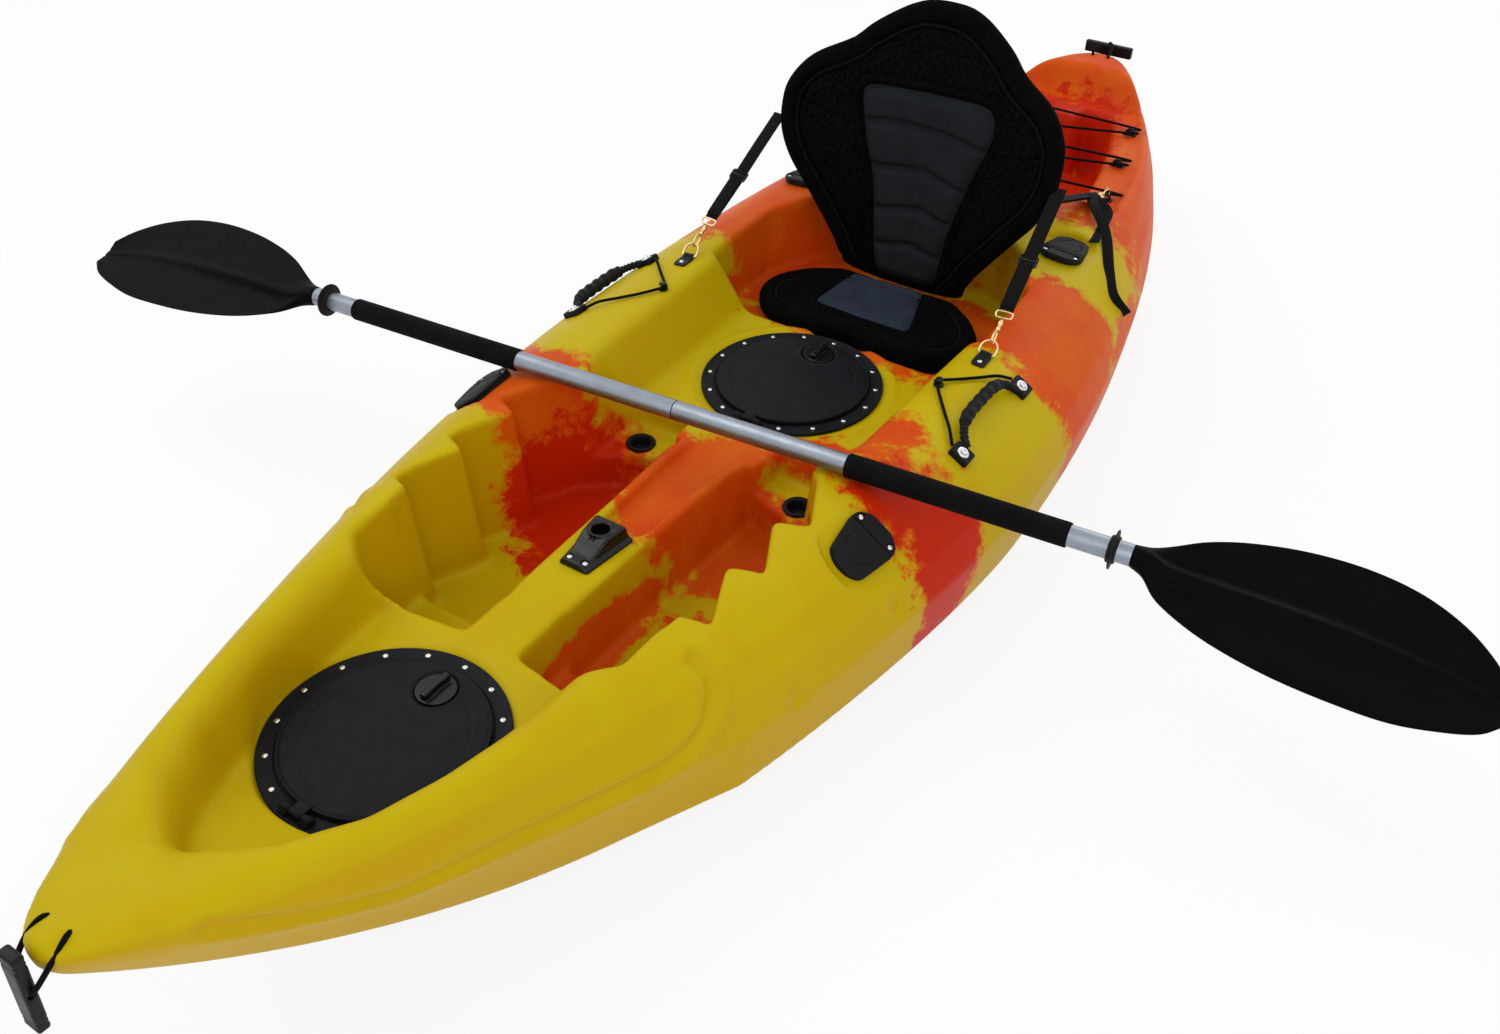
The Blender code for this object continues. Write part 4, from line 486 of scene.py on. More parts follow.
def make_studio():
    """Pale floor, white surroundings to the camera and three soft lamps."""
    bpy.context.scene.view_settings.view_transform = "Standard"
    world = bpy.data.worlds.new("studio")
    world.use_nodes = True
    bpy.context.scene.world = world
    nodes, links = world.node_tree.nodes, world.node_tree.links
    background = nodes["Background"]
    links.new(seen_directly(nodes, links, 0.66, 1.0), background.inputs["Strength"])
    background.inputs["Color"].default_value = (1.0, 1.0, 1.0, 1.0)
    floor_material = bpy.data.materials.new("pale_floor")
    floor_material.use_nodes = True
    nodes, links = floor_material.node_tree.nodes, floor_material.node_tree.links
    shader = nodes["Principled BSDF"]
    shader.inputs["Base Color"].default_value = (0.93, 0.93, 0.93, 1.0)
    shader.inputs["Roughness"].default_value = 0.9
    glow = nodes.new("ShaderNodeEmission")
    both = nodes.new("ShaderNodeMixShader")
    links.new(seen_directly(nodes, links, 0.0, 0.86), both.inputs["Fac"])
    links.new(shader.outputs["BSDF"], both.inputs[1])
    links.new(glow.outputs["Emission"], both.inputs[2])
    links.new(both.outputs["Shader"], nodes["Material Output"].inputs["Surface"])
    floor = mesh_object("floor", [(-30, -30, 0), (30, -30, 0), (30, 30, 0), (-30, 30, 0)],
                        [(0, 1, 2, 3)], floor_material, smooth=False)
    floor.location.z = -0.0005
    lamp("key", (-2.6, -0.6, 3.6), (0.0, 0.0, 0.1), 2.6, 42.0)
    lamp("fill", (2.8, -2.8, 2.6), (0.0, -0.2, 0.1), 3.0, 34.0)
    lamp("back", (0.6, 3.6, 2.4), (0.0, 0.3, 0.2), 2.2, 24.0)


# Materials
class Shader:
    """One material and short calls to add nodes to it."""

    def __init__(self, name, roughness=0.5, metallic=0.0, specular=0.5):
        self.material = bpy.data.materials.new(name)
        self.material.use_nodes = True
        self.tree = self.material.node_tree
        self.surface = self.tree.nodes["Principled BSDF"]
        self.surface.inputs["Roughness"].default_value = roughness
        self.surface.inputs["Metallic"].default_value = metallic
        self.surface.inputs["Specular IOR Level"].default_value = specular
        self.place = self.node("TexCoord").outputs["Object"]

    def node(self, kind, **inputs):
        """Node of a kind, with its sockets set to values or linked to other nodes."""
        made = self.tree.nodes.new(f"ShaderNode{kind}")
        for key, value in inputs.items():
            self.feed(made, key.replace("_", " "), value)
        return made

    def feed(self, made, key, value):
        """Set or link one socket."""
        socket = made.inputs[int(key)] if key.isdigit() else made.inputs[key]
        if isinstance(value, bpy.types.NodeSocket):
            self.tree.links.new(value, socket)
        else:
            socket.default_value = value

    def maths(self, operation, first, second=0.0, clamp=False):
        """Result of a Math node."""
        made = self.tree.nodes.new("ShaderNodeMath")
        made.operation = operation
        made.use_clamp = clamp
        self.feed(made, "0", first)
        self.feed(made, "1", second)
        return made.outputs[0]

    def vector(self, operation, first, second=(0.0, 0.0, 0.0), scale=1.0):
        """Result of a Vector Math node."""
        made = self.tree.nodes.new("ShaderNodeVectorMath")
        made.operation = operation
        self.feed(made, "0", first)
        if operation == "SCALE":
            made.inputs["Scale"].default_value = scale
        else:
            self.feed(made, "1", second)
        return made.outputs["Value" if operation == "LENGTH" else "Vector"]

    def noise(self, scale, detail=4.0, roughness=0.55, place=None):
        """Noise node over the object's own space."""
        return self.node("TexNoise", Vector=place or self.place, Scale=scale, Detail=detail,
                         Roughness=roughness)

    def grain(self, scale, detail=4.0, roughness=0.55):
        """Value of the noise."""
        return self.noise(scale, detail, roughness).outputs["Fac"]

    def clouded(self, colour, factor, cloud, low, high):
        """Colour that drifts towards a multiple of itself in clouds."""
        return self.mix(self.spread(cloud, low, high), colour,
                        tuple(value * factor for value in colour))

    def spread(self, value, low, high, to_low=0.0, to_high=1.0):
        """Value mapped from one range to another, clamped."""
        made = self.tree.nodes.new("ShaderNodeMapRange")
        self.feed(made, "Value", value)
        for key, number in (("From Min", low), ("From Max", high), ("To Min", to_low),
                            ("To Max", to_high)):
            made.inputs[key].default_value = number
        return made.outputs["Result"]

    def mix(self, share, first, second):
        """Mixed colour."""
        made = self.tree.nodes.new("ShaderNodeMix")
        made.data_type = "RGBA"
        self.feed(made, "0", share)
        for key, value in (("6", first), ("7", second)):
            if not isinstance(value, bpy.types.NodeSocket):
                value = (*value, 1.0)
            self.feed(made, key, value)
        return made.outputs[2]

    def bump(self, height, strength, distance):
        """Bump on the surface, added over any earlier bump."""
        made = self.node("Bump", Height=height, Strength=strength, Distance=distance)
        old = self.surface.inputs["Normal"].links
        if old:
            self.tree.links.new(old[0].from_socket, made.inputs["Normal"])
        self.tree.links.new(made.outputs["Normal"], self.surface.inputs["Normal"])

    def colour(self, value):
        """Base colour."""
        self.feed(self.surface, "Base Color", value if isinstance(value, bpy.types.NodeSocket)
                  else (*value, 1.0))

    def rough(self, value, low, high, to_low, to_high):
        """Roughness from a field spread between two values."""
        self.feed(self.surface, "Roughness", self.spread(value, low, high, to_low, to_high))


# Marbling: centre and half sizes of each patch of orange, red or yellow
ORANGE_PATCHES = (
    ((-0.320, -0.360, 0.27), (0.20, 0.13, 0.24)),
    ((-0.170, -0.370, 0.12), (0.17, 0.18, 0.15)),
    ((0.010, -0.330, 0.19), (0.13, 0.19, 0.12)),
    ((0.110, -0.340, 0.10), (0.12, 0.13, 0.12)),
    ((0.150, -0.500, 0.10), (0.08, 0.05, 0.05)),
    ((0.060, -0.600, 0.10), (0.06, 0.20, 0.07)),
    ((0.380, -0.265, 0.16), (0.20, 0.105, 0.32)),
    ((0.220, -0.180, 0.23), (0.18, 0.10, 0.10)),
    ((0.000, 0.270, 0.17), (0.38, 0.18, 0.06)),
    ((-0.300, 0.370, 0.27), (0.30, 0.20, 0.30)),
    ((0.340, 0.250, 0.22), (0.22, 0.17, 0.28)),
    ((0.000, 1.060, 0.25), (0.95, 0.60, 0.95)),
    ((0.420, 0.480, 0.12), (0.16, 0.12, 0.12)),
    ((0.100, -0.800, 0.12), (0.09, 0.04, 0.05)),
    ((-0.080, -0.790, 0.12), (0.07, 0.04, 0.05)),
)
RED_PATCHES = (
    ((-0.180, -0.380, 0.12), (0.15, 0.16, 0.13)),
    ((0.400, -0.270, 0.14), (0.20, 0.10, 0.28)),
    ((0.000, 1.060, 0.20), (0.24, 0.28, 0.12)),
)
YELLOW_PATCHES = (
    ((0.300, 0.500, 0.28), (0.14, 0.11, 0.14)),
    ((-0.160, -0.120, 0.19), (0.10, 0.16, 0.08)),
    ((0.400, -0.030, 0.22), (0.14, 0.13, 0.20)),
)
YELLOW = (0.580, 0.445, 0.002)
ORANGE = (0.660, 0.066, 0.003)
RED = (0.560, 0.020, 0.001)


def patches(shader, warped, places, grain):
    """Field that is high within any of the patches, with a ragged edge."""
    total = None
    for centre, half in places:
        away = shader.vector("SUBTRACT", warped, centre)
        scaled = shader.vector("MULTIPLY", away, tuple(1.0 / size for size in half))
        field = shader.spread(shader.vector("LENGTH", scaled), 1.35, 0.45)
        total = field if total is None else shader.maths("MAXIMUM", total, field)
    ragged = shader.maths("ADD", total, grain)
    return shader.spread(ragged, 0.42, 0.62)


def hull_skin():
    """Rotomoulded polyethylene, marbled yellow, orange and red, with painted shade that deepens the
    yellow on faces turned sideways or down.
    """
    shader = Shader("marbled_polyethylene", roughness=0.42, specular=0.08)
    warp = shader.vector("SUBTRACT", shader.noise(6.0, 5.0, 0.6).outputs["Color"], (0.5, 0.5, 0.5))
    warped = shader.vector("ADD", shader.place, shader.vector("SCALE", warp, scale=0.18))
    grain = shader.grain(34.0, 9.0, 0.68)
    ragged = shader.spread(grain, 0.25, 0.75, -0.30, 0.30)
    speckled = shader.spread(grain, 0.30, 0.70, -0.42, 0.34)
    orange = patches(shader, warped, ORANGE_PATCHES, ragged)
    yellow = patches(shader, warped, YELLOW_PATCHES, ragged)
    orange = shader.maths("SUBTRACT", orange, yellow, clamp=True)
    red = patches(shader, warped, RED_PATCHES, speckled)
    cloud = shader.grain(9.0, 6.0, 0.6)
    yellow_tone = shader.mix(shader.spread(cloud, 0.35, 0.7), YELLOW, (0.560, 0.395, 0.001))
    # Painted shade: faces whose normal points sideways or down get a deeper orange-yellow, standing in
    # for the shade on the hull's sides.
    level = shader.node("SeparateXYZ", Vector=shader.node("NewGeometry").outputs["Normal"]).outputs["Z"]
    yellow_tone = shader.mix(shader.spread(level, 0.80, 0.10), yellow_tone, (0.560, 0.350, 0.001))
    orange_tone = shader.mix(shader.spread(cloud, 0.40, 0.72), ORANGE, (0.680, 0.125, 0.003))
    tone = shader.mix(orange, yellow_tone, orange_tone)
    shader.colour(shader.mix(shader.maths("MULTIPLY", red, orange), tone, RED))
    scuffs = shader.grain(60.0, 8.0, 0.7)
    shader.rough(scuffs, 0.3, 0.75, 0.38, 0.52)
    shader.bump(shader.grain(420.0, 3.0), 0.10, 0.0006)
    shader.bump(shader.grain(16.0, 3.0), 0.10, 0.004)
    return shader.material


def moulded(name, colour, roughness, grain=700.0, depth=0.12, specular=0.10):
    """Moulded plastic or rubber with a fine grain and handling marks."""
    shader = Shader(name, roughness, specular=specular)
    shader.colour(shader.clouded(colour, 1.7, shader.grain(24.0, 6.0), 0.35, 0.75))
    marks = shader.grain(90.0, 8.0, 0.7)
    shader.rough(marks, 0.3, 0.75, roughness - 0.07, roughness + 0.10)
    shader.bump(shader.grain(grain, 3.0), depth, 0.0004)
    return shader.material


def metal(name, colour, roughness, stretch=(1.0, 1.0, 1.0)):
    """Metal with fine drawn lines and faint tarnish."""
    shader = Shader(name, roughness, metallic=1.0)
    drawn = shader.vector("MULTIPLY", shader.place, stretch)
    lines = shader.noise(600.0, 4.0, place=drawn).outputs["Fac"]
    shader.colour(shader.clouded(colour, 0.82, shader.grain(40.0, 6.0), 0.4, 0.8))
    shader.rough(lines, 0.3, 0.7, roughness - 0.05, roughness + 0.12)
    shader.bump(lines, 0.06, 0.0002)
    return shader.material


def cloth(name, colour, cell, depth):
    """Knitted or woven cloth: cells of thread with darker gaps between them."""
    shader = Shader(name, 0.9, specular=0.08)
    shader.surface.inputs["Sheen Weight"].default_value = 0.02
    shader.surface.inputs["Sheen Roughness"].default_value = 0.5
    thread = shader.node("TexVoronoi", Vector=shader.place, Scale=1.0 / cell)
    thread.feature = "F1"
    gap = shader.spread(thread.outputs["Distance"], 0.30, 0.62)
    cloud = shader.grain(30.0, 6.0)
    base = shader.clouded(colour, 1.6, cloud, 0.35, 0.75)
    shader.colour(shader.mix(gap, base, tuple(value * 0.75 for value in colour)))
    shader.bump(shader.maths("SUBTRACT", 1.0, gap), depth, cell * 0.5)
    shader.bump(cloud, 0.15, 0.003)
    return shader.material


def webbing(name, colour):
    """Woven strap: ribs across a fine weave."""
    shader = Shader(name, 0.75, specular=0.10)
    weave = shader.node("TexVoronoi", Vector=shader.place, Scale=620.0)
    shader.colour(shader.clouded(colour, 1.8, shader.grain(50.0, 5.0), 0.3, 0.8))
    shader.bump(weave.outputs["Distance"], 0.35, 0.0008)
    return shader.material


M = {}
BLACK = (0.0030, 0.0030, 0.0034)
NET_BLACK = (0.0034, 0.0034, 0.0038)


def make_materials():
    """Every finish by name."""
    M["hull"] = hull_skin()
    M["lid"] = moulded("lid_plastic", (0.0055, 0.0060, 0.0080), 0.50, 900.0, 0.16)
    M["plastic"] = moulded("black_plastic", (0.0040, 0.0040, 0.0045), 0.40, specular=0.18)
    M["gloss"] = moulded("glossy_plastic", (0.0028, 0.0028, 0.0032), 0.26, specular=0.30)
    M["rubber"] = moulded("black_rubber", (0.0060, 0.0060, 0.0068), 0.55, 500.0, 0.2, 0.12)
    M["foam"] = moulded("foam_grip", BLACK, 0.85, 1100.0, 0.45, 0.08)
    M["blade"] = moulded("blade_plastic", (0.0012, 0.0012, 0.0014), 0.44, 800.0, 0.08, 0.04)
    M["alu"] = metal("aluminium_tube", (0.30, 0.33, 0.38), 0.38, (0.05, 1.0, 1.0))
    M["steel"] = metal("bright_steel", (0.70, 0.70, 0.71), 0.22)
    M["brass"] = metal("brass_plate", (0.83, 0.60, 0.30), 0.24)
    M["piping"] = cloth("seat_piping", BLACK, 0.0011, 0.4)
    M["webbing"] = webbing("black_webbing", BLACK)
    M["cord"] = cloth("braided_cord", (0.0035, 0.0035, 0.0040), 0.0012, 0.7)


# Hull
def plan_pocket(field, grid, outline, edge_z, floor, draft, rim):
    """Take a drafted pocket out of the hull's field."""
    x, y, z = grid
    plan = blur(plan_distance(outline, x, y)[:, :, 0], PLAN_BLUR / CELL, mirrored=True)[:, :, None]
    wall = (plan + draft * (edge_z - z)) / math.sqrt(1.0 + draft * draft)
    inner = smooth_max(wall, floor - z, POCKET_FOOT)
    return smooth_max(field, -inner, rim)


def hull_field(x, y, z):
    """Signed field of the hull, negative in the plastic."""
    ys = y[0, :, 0]
    zs = z[0, 0, :]
    low = keel_height(ys)[:, None]
    edge = deck_edge(ys)[:, None]
    wide = half_beam(ys)[:, None]
    up = (zs[None, :] - low) / maximum(edge - low, 0.02)
    fine_up = np.linspace(-0.3, 1.3, 321)
    across = interp(fine_up, SECTION_UP, SECTION_ACROSS)
    kernel = np.hanning(13)
    across = np.convolve(np.pad(across, 6, mode="edge"), kernel / kernel.sum(), mode="valid")
    vee = VEE * np.clip((VEE_START - ys) / (BOW_LENGTH + VEE_START), 0.0, 1.0)[:, None]
    half = wide * interp(up, fine_up, across) * (1.0 - vee * maximum(0.0, 1.0 - up / VEE_TOP))
    along, rise = np.gradient(half, CELL)
    side = (x - half[None]) / sqrt(1.0 + along * along + rise * rise)[None]
    crown = CROWN * wide / (BEAM / 2)
    top = edge[None] + crown[None] * interp(x / wide[None], CROWN_ACROSS, CROWN_SHARE)
    field = smooth_max(side, z - top, 0.016)
    field = smooth_max(field, low[None] - z, 0.010)
    field = smooth_max(field, -BOW_LENGTH - y, 0.020)
    return smooth_max(field, y - STERN_LENGTH, 0.030)


def tilted(x, y, z, place):
    """Coordinates in a fitting's frame, for its port side."""
    inverse = np.array(place.inverted())
    return [inverse[r, 0] * x + inverse[r, 1] * y + inverse[r, 2] * z + inverse[r, 3]
            for r in range(3)]


def carve_trough(field, grid):
    """Take out the long opening over the bow recess, the console and the seat deck."""
    x, y, z = grid
    ys = y[0, :, 0]
    table = np.array(TROUGH)
    kernel = np.hanning(9)
    kernel /= kernel.sum()
    floor_half, floor, edge_half = (
        np.convolve(np.pad(interp(ys, table[:, 0], table[:, column]), 4, mode="edge"), kernel,
                    mode="valid")[None, :, None] for column in (1, 2, 3))
    flare = (edge_half - floor_half) / (DEPTH - floor)
    wall = (x - floor_half - flare * (z - floor)) / sqrt(1.0 + flare * flare)
    inner = smooth_max(wall, floor - z, 0.014)
    inner = smooth_max(inner, table[0, 0] - y, 0.02)
    inner = smooth_max(inner, y - table[-1, 0], 0.02)
    return smooth_max(field, -inner, interp(ys, (-0.86, -0.70), (0.050, 0.016))[None, :, None])


def rod_frames(end, side):
    """Frame of a rod holder's plate on its seat, and frame of its tube."""
    x, y, lean = ROD_HOLDERS[end]
    normal = deck_normal(side * x, y)
    up = Vector((normal.x, lean * 0.12, normal.z)).normalized()
    centre = Vector((side * x, y, deck_height(x, y))) - up * 0.006
    forward = (0.0, -lean, 0.0)
    return frame_at(centre, up, forward), frame_at(centre, (side * 0.10, lean * 0.34, 1.0), forward)


# Lines pressed into the hull's side
SIDE_CREASE = (
    (0.099, -1.268, 0.289), (0.133, -1.193, 0.246), (0.169, -1.101, 0.204), (0.220, -0.994, 0.203),
    (0.247, -0.924, 0.196), (0.275, -0.855, 0.188), (0.297, -0.799, 0.183), (0.311, -0.762, 0.190),
    (0.315, -0.728, 0.211), (0.309, -0.703, 0.237), (0.296, -0.694, 0.260), (0.278, -0.699, 0.276),
)
VEE_MARKS = (
    (((0.370, -0.398, 0.130), (0.400, -0.376, 0.139)), ((0.400, -0.393, 0.199), (0.393, -0.388, 0.150))),
    (((0.340, -0.618, 0.151), (0.375, -0.576, 0.159)), ((0.375, -0.585, 0.214), (0.362, -0.600, 0.165))),
)


PANEL_END = -0.66
MARKS_END = -0.33
SKIN_REACH = 0.022
SCOOPS = (((0.031, -1.378, 0.338), (0.035, -1.322, 0.346)),
          ((0.040, 1.255, 0.358), (0.036, 1.325, 0.362)))
SCOOP_RADIUS = 0.020


def carve_side(field, x, y, z):
    """The crease round the bow's side panel, the marks behind it and the scoops at both tips."""
    places = np.argwhere(np.abs(field) < SKIN_REACH)
    px, py, pz = x[places[:, 0], 0, 0], y[0, places[:, 1], 0], z[0, 0, places[:, 2]]
    change = np.zeros(len(places))
    near = (py < PANEL_END) & (px > 0.05)
    away = run_distance(SIDE_CREASE, px[near], py[near], pz[near])
    change[near] += 0.0080 * bell(away, 0.0090) - 0.0030 * bell(away - 0.020, 0.012)
    near = (py > PANEL_END) & (py < MARKS_END) & (px > 0.30)
    for strokes in VEE_MARKS:
        for stroke in strokes:
            away = run_distance(stroke, px[near], py[near], pz[near])
            change[near] += 0.0070 * bell(away, 0.0075)
    field[places[:, 0], places[:, 1], places[:, 2]] += change
    for start, end in SCOOPS:
        field = smooth_max(field, -rod_field(x, y, z, start, end, SCOOP_RADIUS), 0.014)
    return field


def make_hull():
    """The whole shell as one smooth skin."""
    xs = CELL * (np.arange(int(GRID_HALF_WIDTH / CELL)) + 0.5)
    ys = np.arange(-BOW_LENGTH - 4 * CELL, STERN_LENGTH + 5 * CELL, CELL)
    zs = np.arange(-4 * CELL, GRID_TOP, CELL)
    x, y, z = xs[:, None, None], ys[None, :, None], zs[None, None, :]
    grid = (x, y, z)
    field = hull_field(x, y, z)
    field = carve_trough(field, grid)
    for pocket in POCKETS:
        field = plan_pocket(field, grid, *pocket)
    radial = {name: sqrt(x * x + (y - hatch_y) ** 2) for name, (hatch_y, _) in HATCHES.items()}
    for name, (_, seat) in HATCHES.items():
        pocket = smooth_max(radial[name] - HATCH_SEAT_RADIUS, seat - z, 0.004)
        field = smooth_max(field, -pocket, 0.006)
    ridge = np.exp(-((radial["centre"] - 0.171) / 0.006) ** 2 - ((z - 0.194) / 0.02) ** 2)
    field = field - 0.0045 * ridge
    for end in ROD_HOLDERS:
        plate, bore = rod_frames(end, 1)
        lx, ly, lz = tilted(x, y, z, plate)
        pocket = smooth_max(sqrt(lx * lx + ly * ly) - ROD_SEAT_RADIUS, -lz, 0.005)
        field = smooth_max(field, -pocket, 0.008)
        lx, ly, lz = tilted(x, y, z, bore)
        hole = maximum(sqrt(lx * lx + ly * ly) - ROD_HOLE_RADIUS, -ROD_HOLE_DEPTH - lz)
        field = maximum(field, -hole)
    field = carve_side(field, x, y, z)
    outer = field
    for name, (_, seat) in HATCHES.items():
        room = maximum(radial[name] - ROOM_RADIUS[name], z - seat + 0.012)
        field = maximum(field, -maximum(room, outer + SHELL))
        hole = maximum(radial[name] - HATCH_HOLE_RADIUS, maximum(seat - 0.03 - z, z - seat - 0.01))
        field = maximum(field, -hole)
    drain = sqrt((x - SCUPPER[0]) ** 2 + (y - SCUPPER[1]) ** 2) - DRAIN_RADIUS
    field = maximum(field, -maximum(drain, z - SEAT_DECK))
    full = np.concatenate([field[::-1], field])
    points, faces = surface_net(full.astype(np.float32), (-xs[-1], ys[0], zs[0]), CELL)
    hull = mesh_object("hull_shell", points, faces, M["hull"])
    if len(faces) > QUAD_LIMIT:
        thin = hull.modifiers.new("Thin", "DECIMATE")
        thin.ratio = QUAD_LIMIT / len(faces)
        apply_modifiers(hull)
        hull.data.shade_smooth()
    settle(hull, "hull", "hull", "hull")


# Shapes for the fittings
def grid_faces(rows, columns, caps=False):
    """Quads over closed rings of points; the first and the last may be capped."""
    faces = []
    for row in range(rows - 1):
        for column in range(columns):
            after = (column + 1) % columns
            faces.append((row * columns + column, row * columns + after,
                          (row + 1) * columns + after, (row + 1) * columns + column))
    if caps:
        faces.append(tuple(range(columns))[::-1])
        faces.append(tuple((rows - 1) * columns + column for column in range(columns)))
    return faces


def weld(obj):
    """Merge points that coincide."""
    mesh = bmesh.new()
    mesh.from_mesh(obj.data)
    bmesh.ops.remove_doubles(mesh, verts=mesh.verts, dist=1e-6)
    mesh.to_mesh(obj.data)
    mesh.free()
    return obj


def soften(points, radius, steps=3, loop=True):
    """Round the corners of a run of points."""
    points = [np.array(tuple(point), float) for point in points]
    result = []
    for index, point in enumerate(points):
        if not loop and index in (0, len(points) - 1):
            result.append(point)
            continue
        before = points[index - 1] - point
        after = points[(index + 1) % len(points)] - point
        before *= min(radius / np.linalg.norm(before), 0.5)
        after *= min(radius / np.linalg.norm(after), 0.5)
        for share in np.linspace(0.0, 1.0, steps + 1):
            result.append(point + before * (1 - share) ** 2 + after * share ** 2)
    return np.array(result)


def spline(points, steps=8, loop=False):
    """Smooth run through points."""
    points = np.array([tuple(point) for point in points], float)
    if loop:
        ends = np.concatenate([points[-1:], points, points[:2]])
    else:
        ends = np.concatenate([2 * points[:1] - points[1:2], points,
                               2 * points[-1:] - points[-2:-1]])
    result = []
    for a, b, c, d in zip(ends, ends[1:], ends[2:], ends[3:]):
        for t in np.arange(steps) / steps:
            result.append(b + 0.5 * t * (c - a + t * (2 * a - 5 * b + 4 * c - d
                                                      + t * (3 * (b - c) + d - a))))
    if not loop:
        result.append(points[-1])
    return np.array(result)


def circle(radius, sides=12):
    """Round section."""
    angles = np.arange(sides) * 2 * math.pi / sides
    return np.stack([radius * np.cos(angles), radius * np.sin(angles)], axis=1)


def oblong(width, height, corner, steps=3):
    """Rectangular section with rounded corners."""
    w, h = width / 2, height / 2
    return soften([(w, -h), (w, h), (-w, h), (-w, -h)], corner, steps)


def sweep(name, path, section, material, hint=None, scales=None, loop=False):
    """Section carried along a path; a hint fixes the direction of its width."""
    path = np.asarray(path, float)
    if loop:
        run = np.roll(path, -1, 0) - np.roll(path, 1, 0)
    else:
        run = np.gradient(path, axis=0)
    run /= np.linalg.norm(run, axis=1)[:, None]
    if hint is None:
        last = np.eye(3)[np.argmin(np.abs(run[0]))]
        across = []
        for step in run:
            last = last - step * last.dot(step)
            last = last / np.linalg.norm(last)
            across.append(last)
        across = np.array(across)
    else:
        across = np.broadcast_to(np.array(hint, float), path.shape)
        across = across - run * (across * run).sum(axis=1)[:, None]
        across /= np.linalg.norm(across, axis=1)[:, None]
    normal = np.cross(run, across)
    section = np.asarray(section, float)
    scales = np.ones((len(path), 2)) if scales is None else np.asarray(scales, float)
    points = (path[:, None] + across[:, None] * (section[None, :, :1] * scales[:, None, :1])
              + normal[:, None] * (section[None, :, 1:] * scales[:, None, 1:]))
    rings = points.reshape(-1, 3)
    if loop:
        rings = np.concatenate([rings, rings[:len(section)]])
    faces = grid_faces(len(path) + int(loop), len(section), caps=not loop)
    obj = mesh_object(name, rings, faces, material)
    return weld(obj) if loop else obj


def revolved(profile, sides=40):
    """Points and faces of a profile of (radius, height) turned about Z."""
    angles = np.arange(sides) * 2 * math.pi / sides
    points = [(r * math.cos(a), r * math.sin(a), z) for r, z in profile for a in angles]
    return np.array(points), grid_faces(len(profile), sides)


def revolve(name, profile, material, place=IDENTITY, sides=40, corner=0.0, sharp=None):
    """Turned piece; its corners may be rounded."""
    if corner:
        profile = soften(profile, corner, 2, loop=False)
    obj = weld(mesh_object(name, *revolved(profile, sides), material))
    if sharp:
        obj.data.set_sharp_from_angle(angle=math.radians(sharp))
    obj.data.transform(place)
    return obj


def copies(name, source, places, material):
    """One object of many copies of a shape."""
    points, faces = source
    all_points, all_faces = [], []
    for place in places:
        start = len(all_points)
        all_points += [tuple(place @ Vector(point)) for point in points]
        all_faces += [tuple(start + index for index in face) for face in faces]
    return weld(mesh_object(name, all_points, all_faces, material))


def dome(radius, height):
    """Profile of a low round head."""
    return [(0.0, -0.001), (radius, -0.001), (radius, height * 0.25), (radius * 0.86, height * 0.7),
            (radius * 0.5, height * 0.95), (0.0, height)]


def screws(name, radius, height, places):
    """Low round heads on pieces that the hull carries."""
    heads = copies(name, revolved(dome(radius, height), 16), places, M["steel"])
    settle(heads, "hull", "aluminium")


def field_piece(name, function, low, high, cell, material, place=IDENTITY):
    """Piece from a field over a box."""
    axes = [np.arange(a - 2 * cell, b + 3 * cell, cell) for a, b in zip(low, high)]
    x, y, z = axes[0][:, None, None], axes[1][None, :, None], axes[2][None, None, :]
    field = np.asarray(function(x, y, z)) + np.zeros([len(axis) for axis in axes])
    points, faces = surface_net(field.astype(np.float32), [axis[0] for axis in axes], cell)
    obj = mesh_object(name, points, faces, material)
    obj.data.transform(place)
    return obj


# Hatches
LID_TOP = 0.0120
LID_RADIUS = 0.1275
HINGE_Y = -0.1395
HINGE_Z = 0.0102
KNOB_OFFSET = 0.088
RIVET_CIRCLE = 0.13975
GROOVE_RADIUS = 0.103
DISH_RADIUS = 0.0325
RIVETS = 16


def lid_height(x, y):
    """Top of a lid: a round groove, a lip at its edge and a dish for the knob."""
    radial = np.hypot(x, y)
    dish = np.hypot(x, y - KNOB_OFFSET)
    height = LID_TOP - 0.0006 * bell(radial - GROOVE_RADIUS, 0.0024) * ease(dish, 0.034, 0.040)
    height = height - 0.0016 * ease(radial, 0.1215, 0.1250)
    height = height + 0.0012 * bell(dish - DISH_RADIUS, 0.0020)
    return height - 0.0042 * (1 - ease(dish, 0.0265, 0.0305))


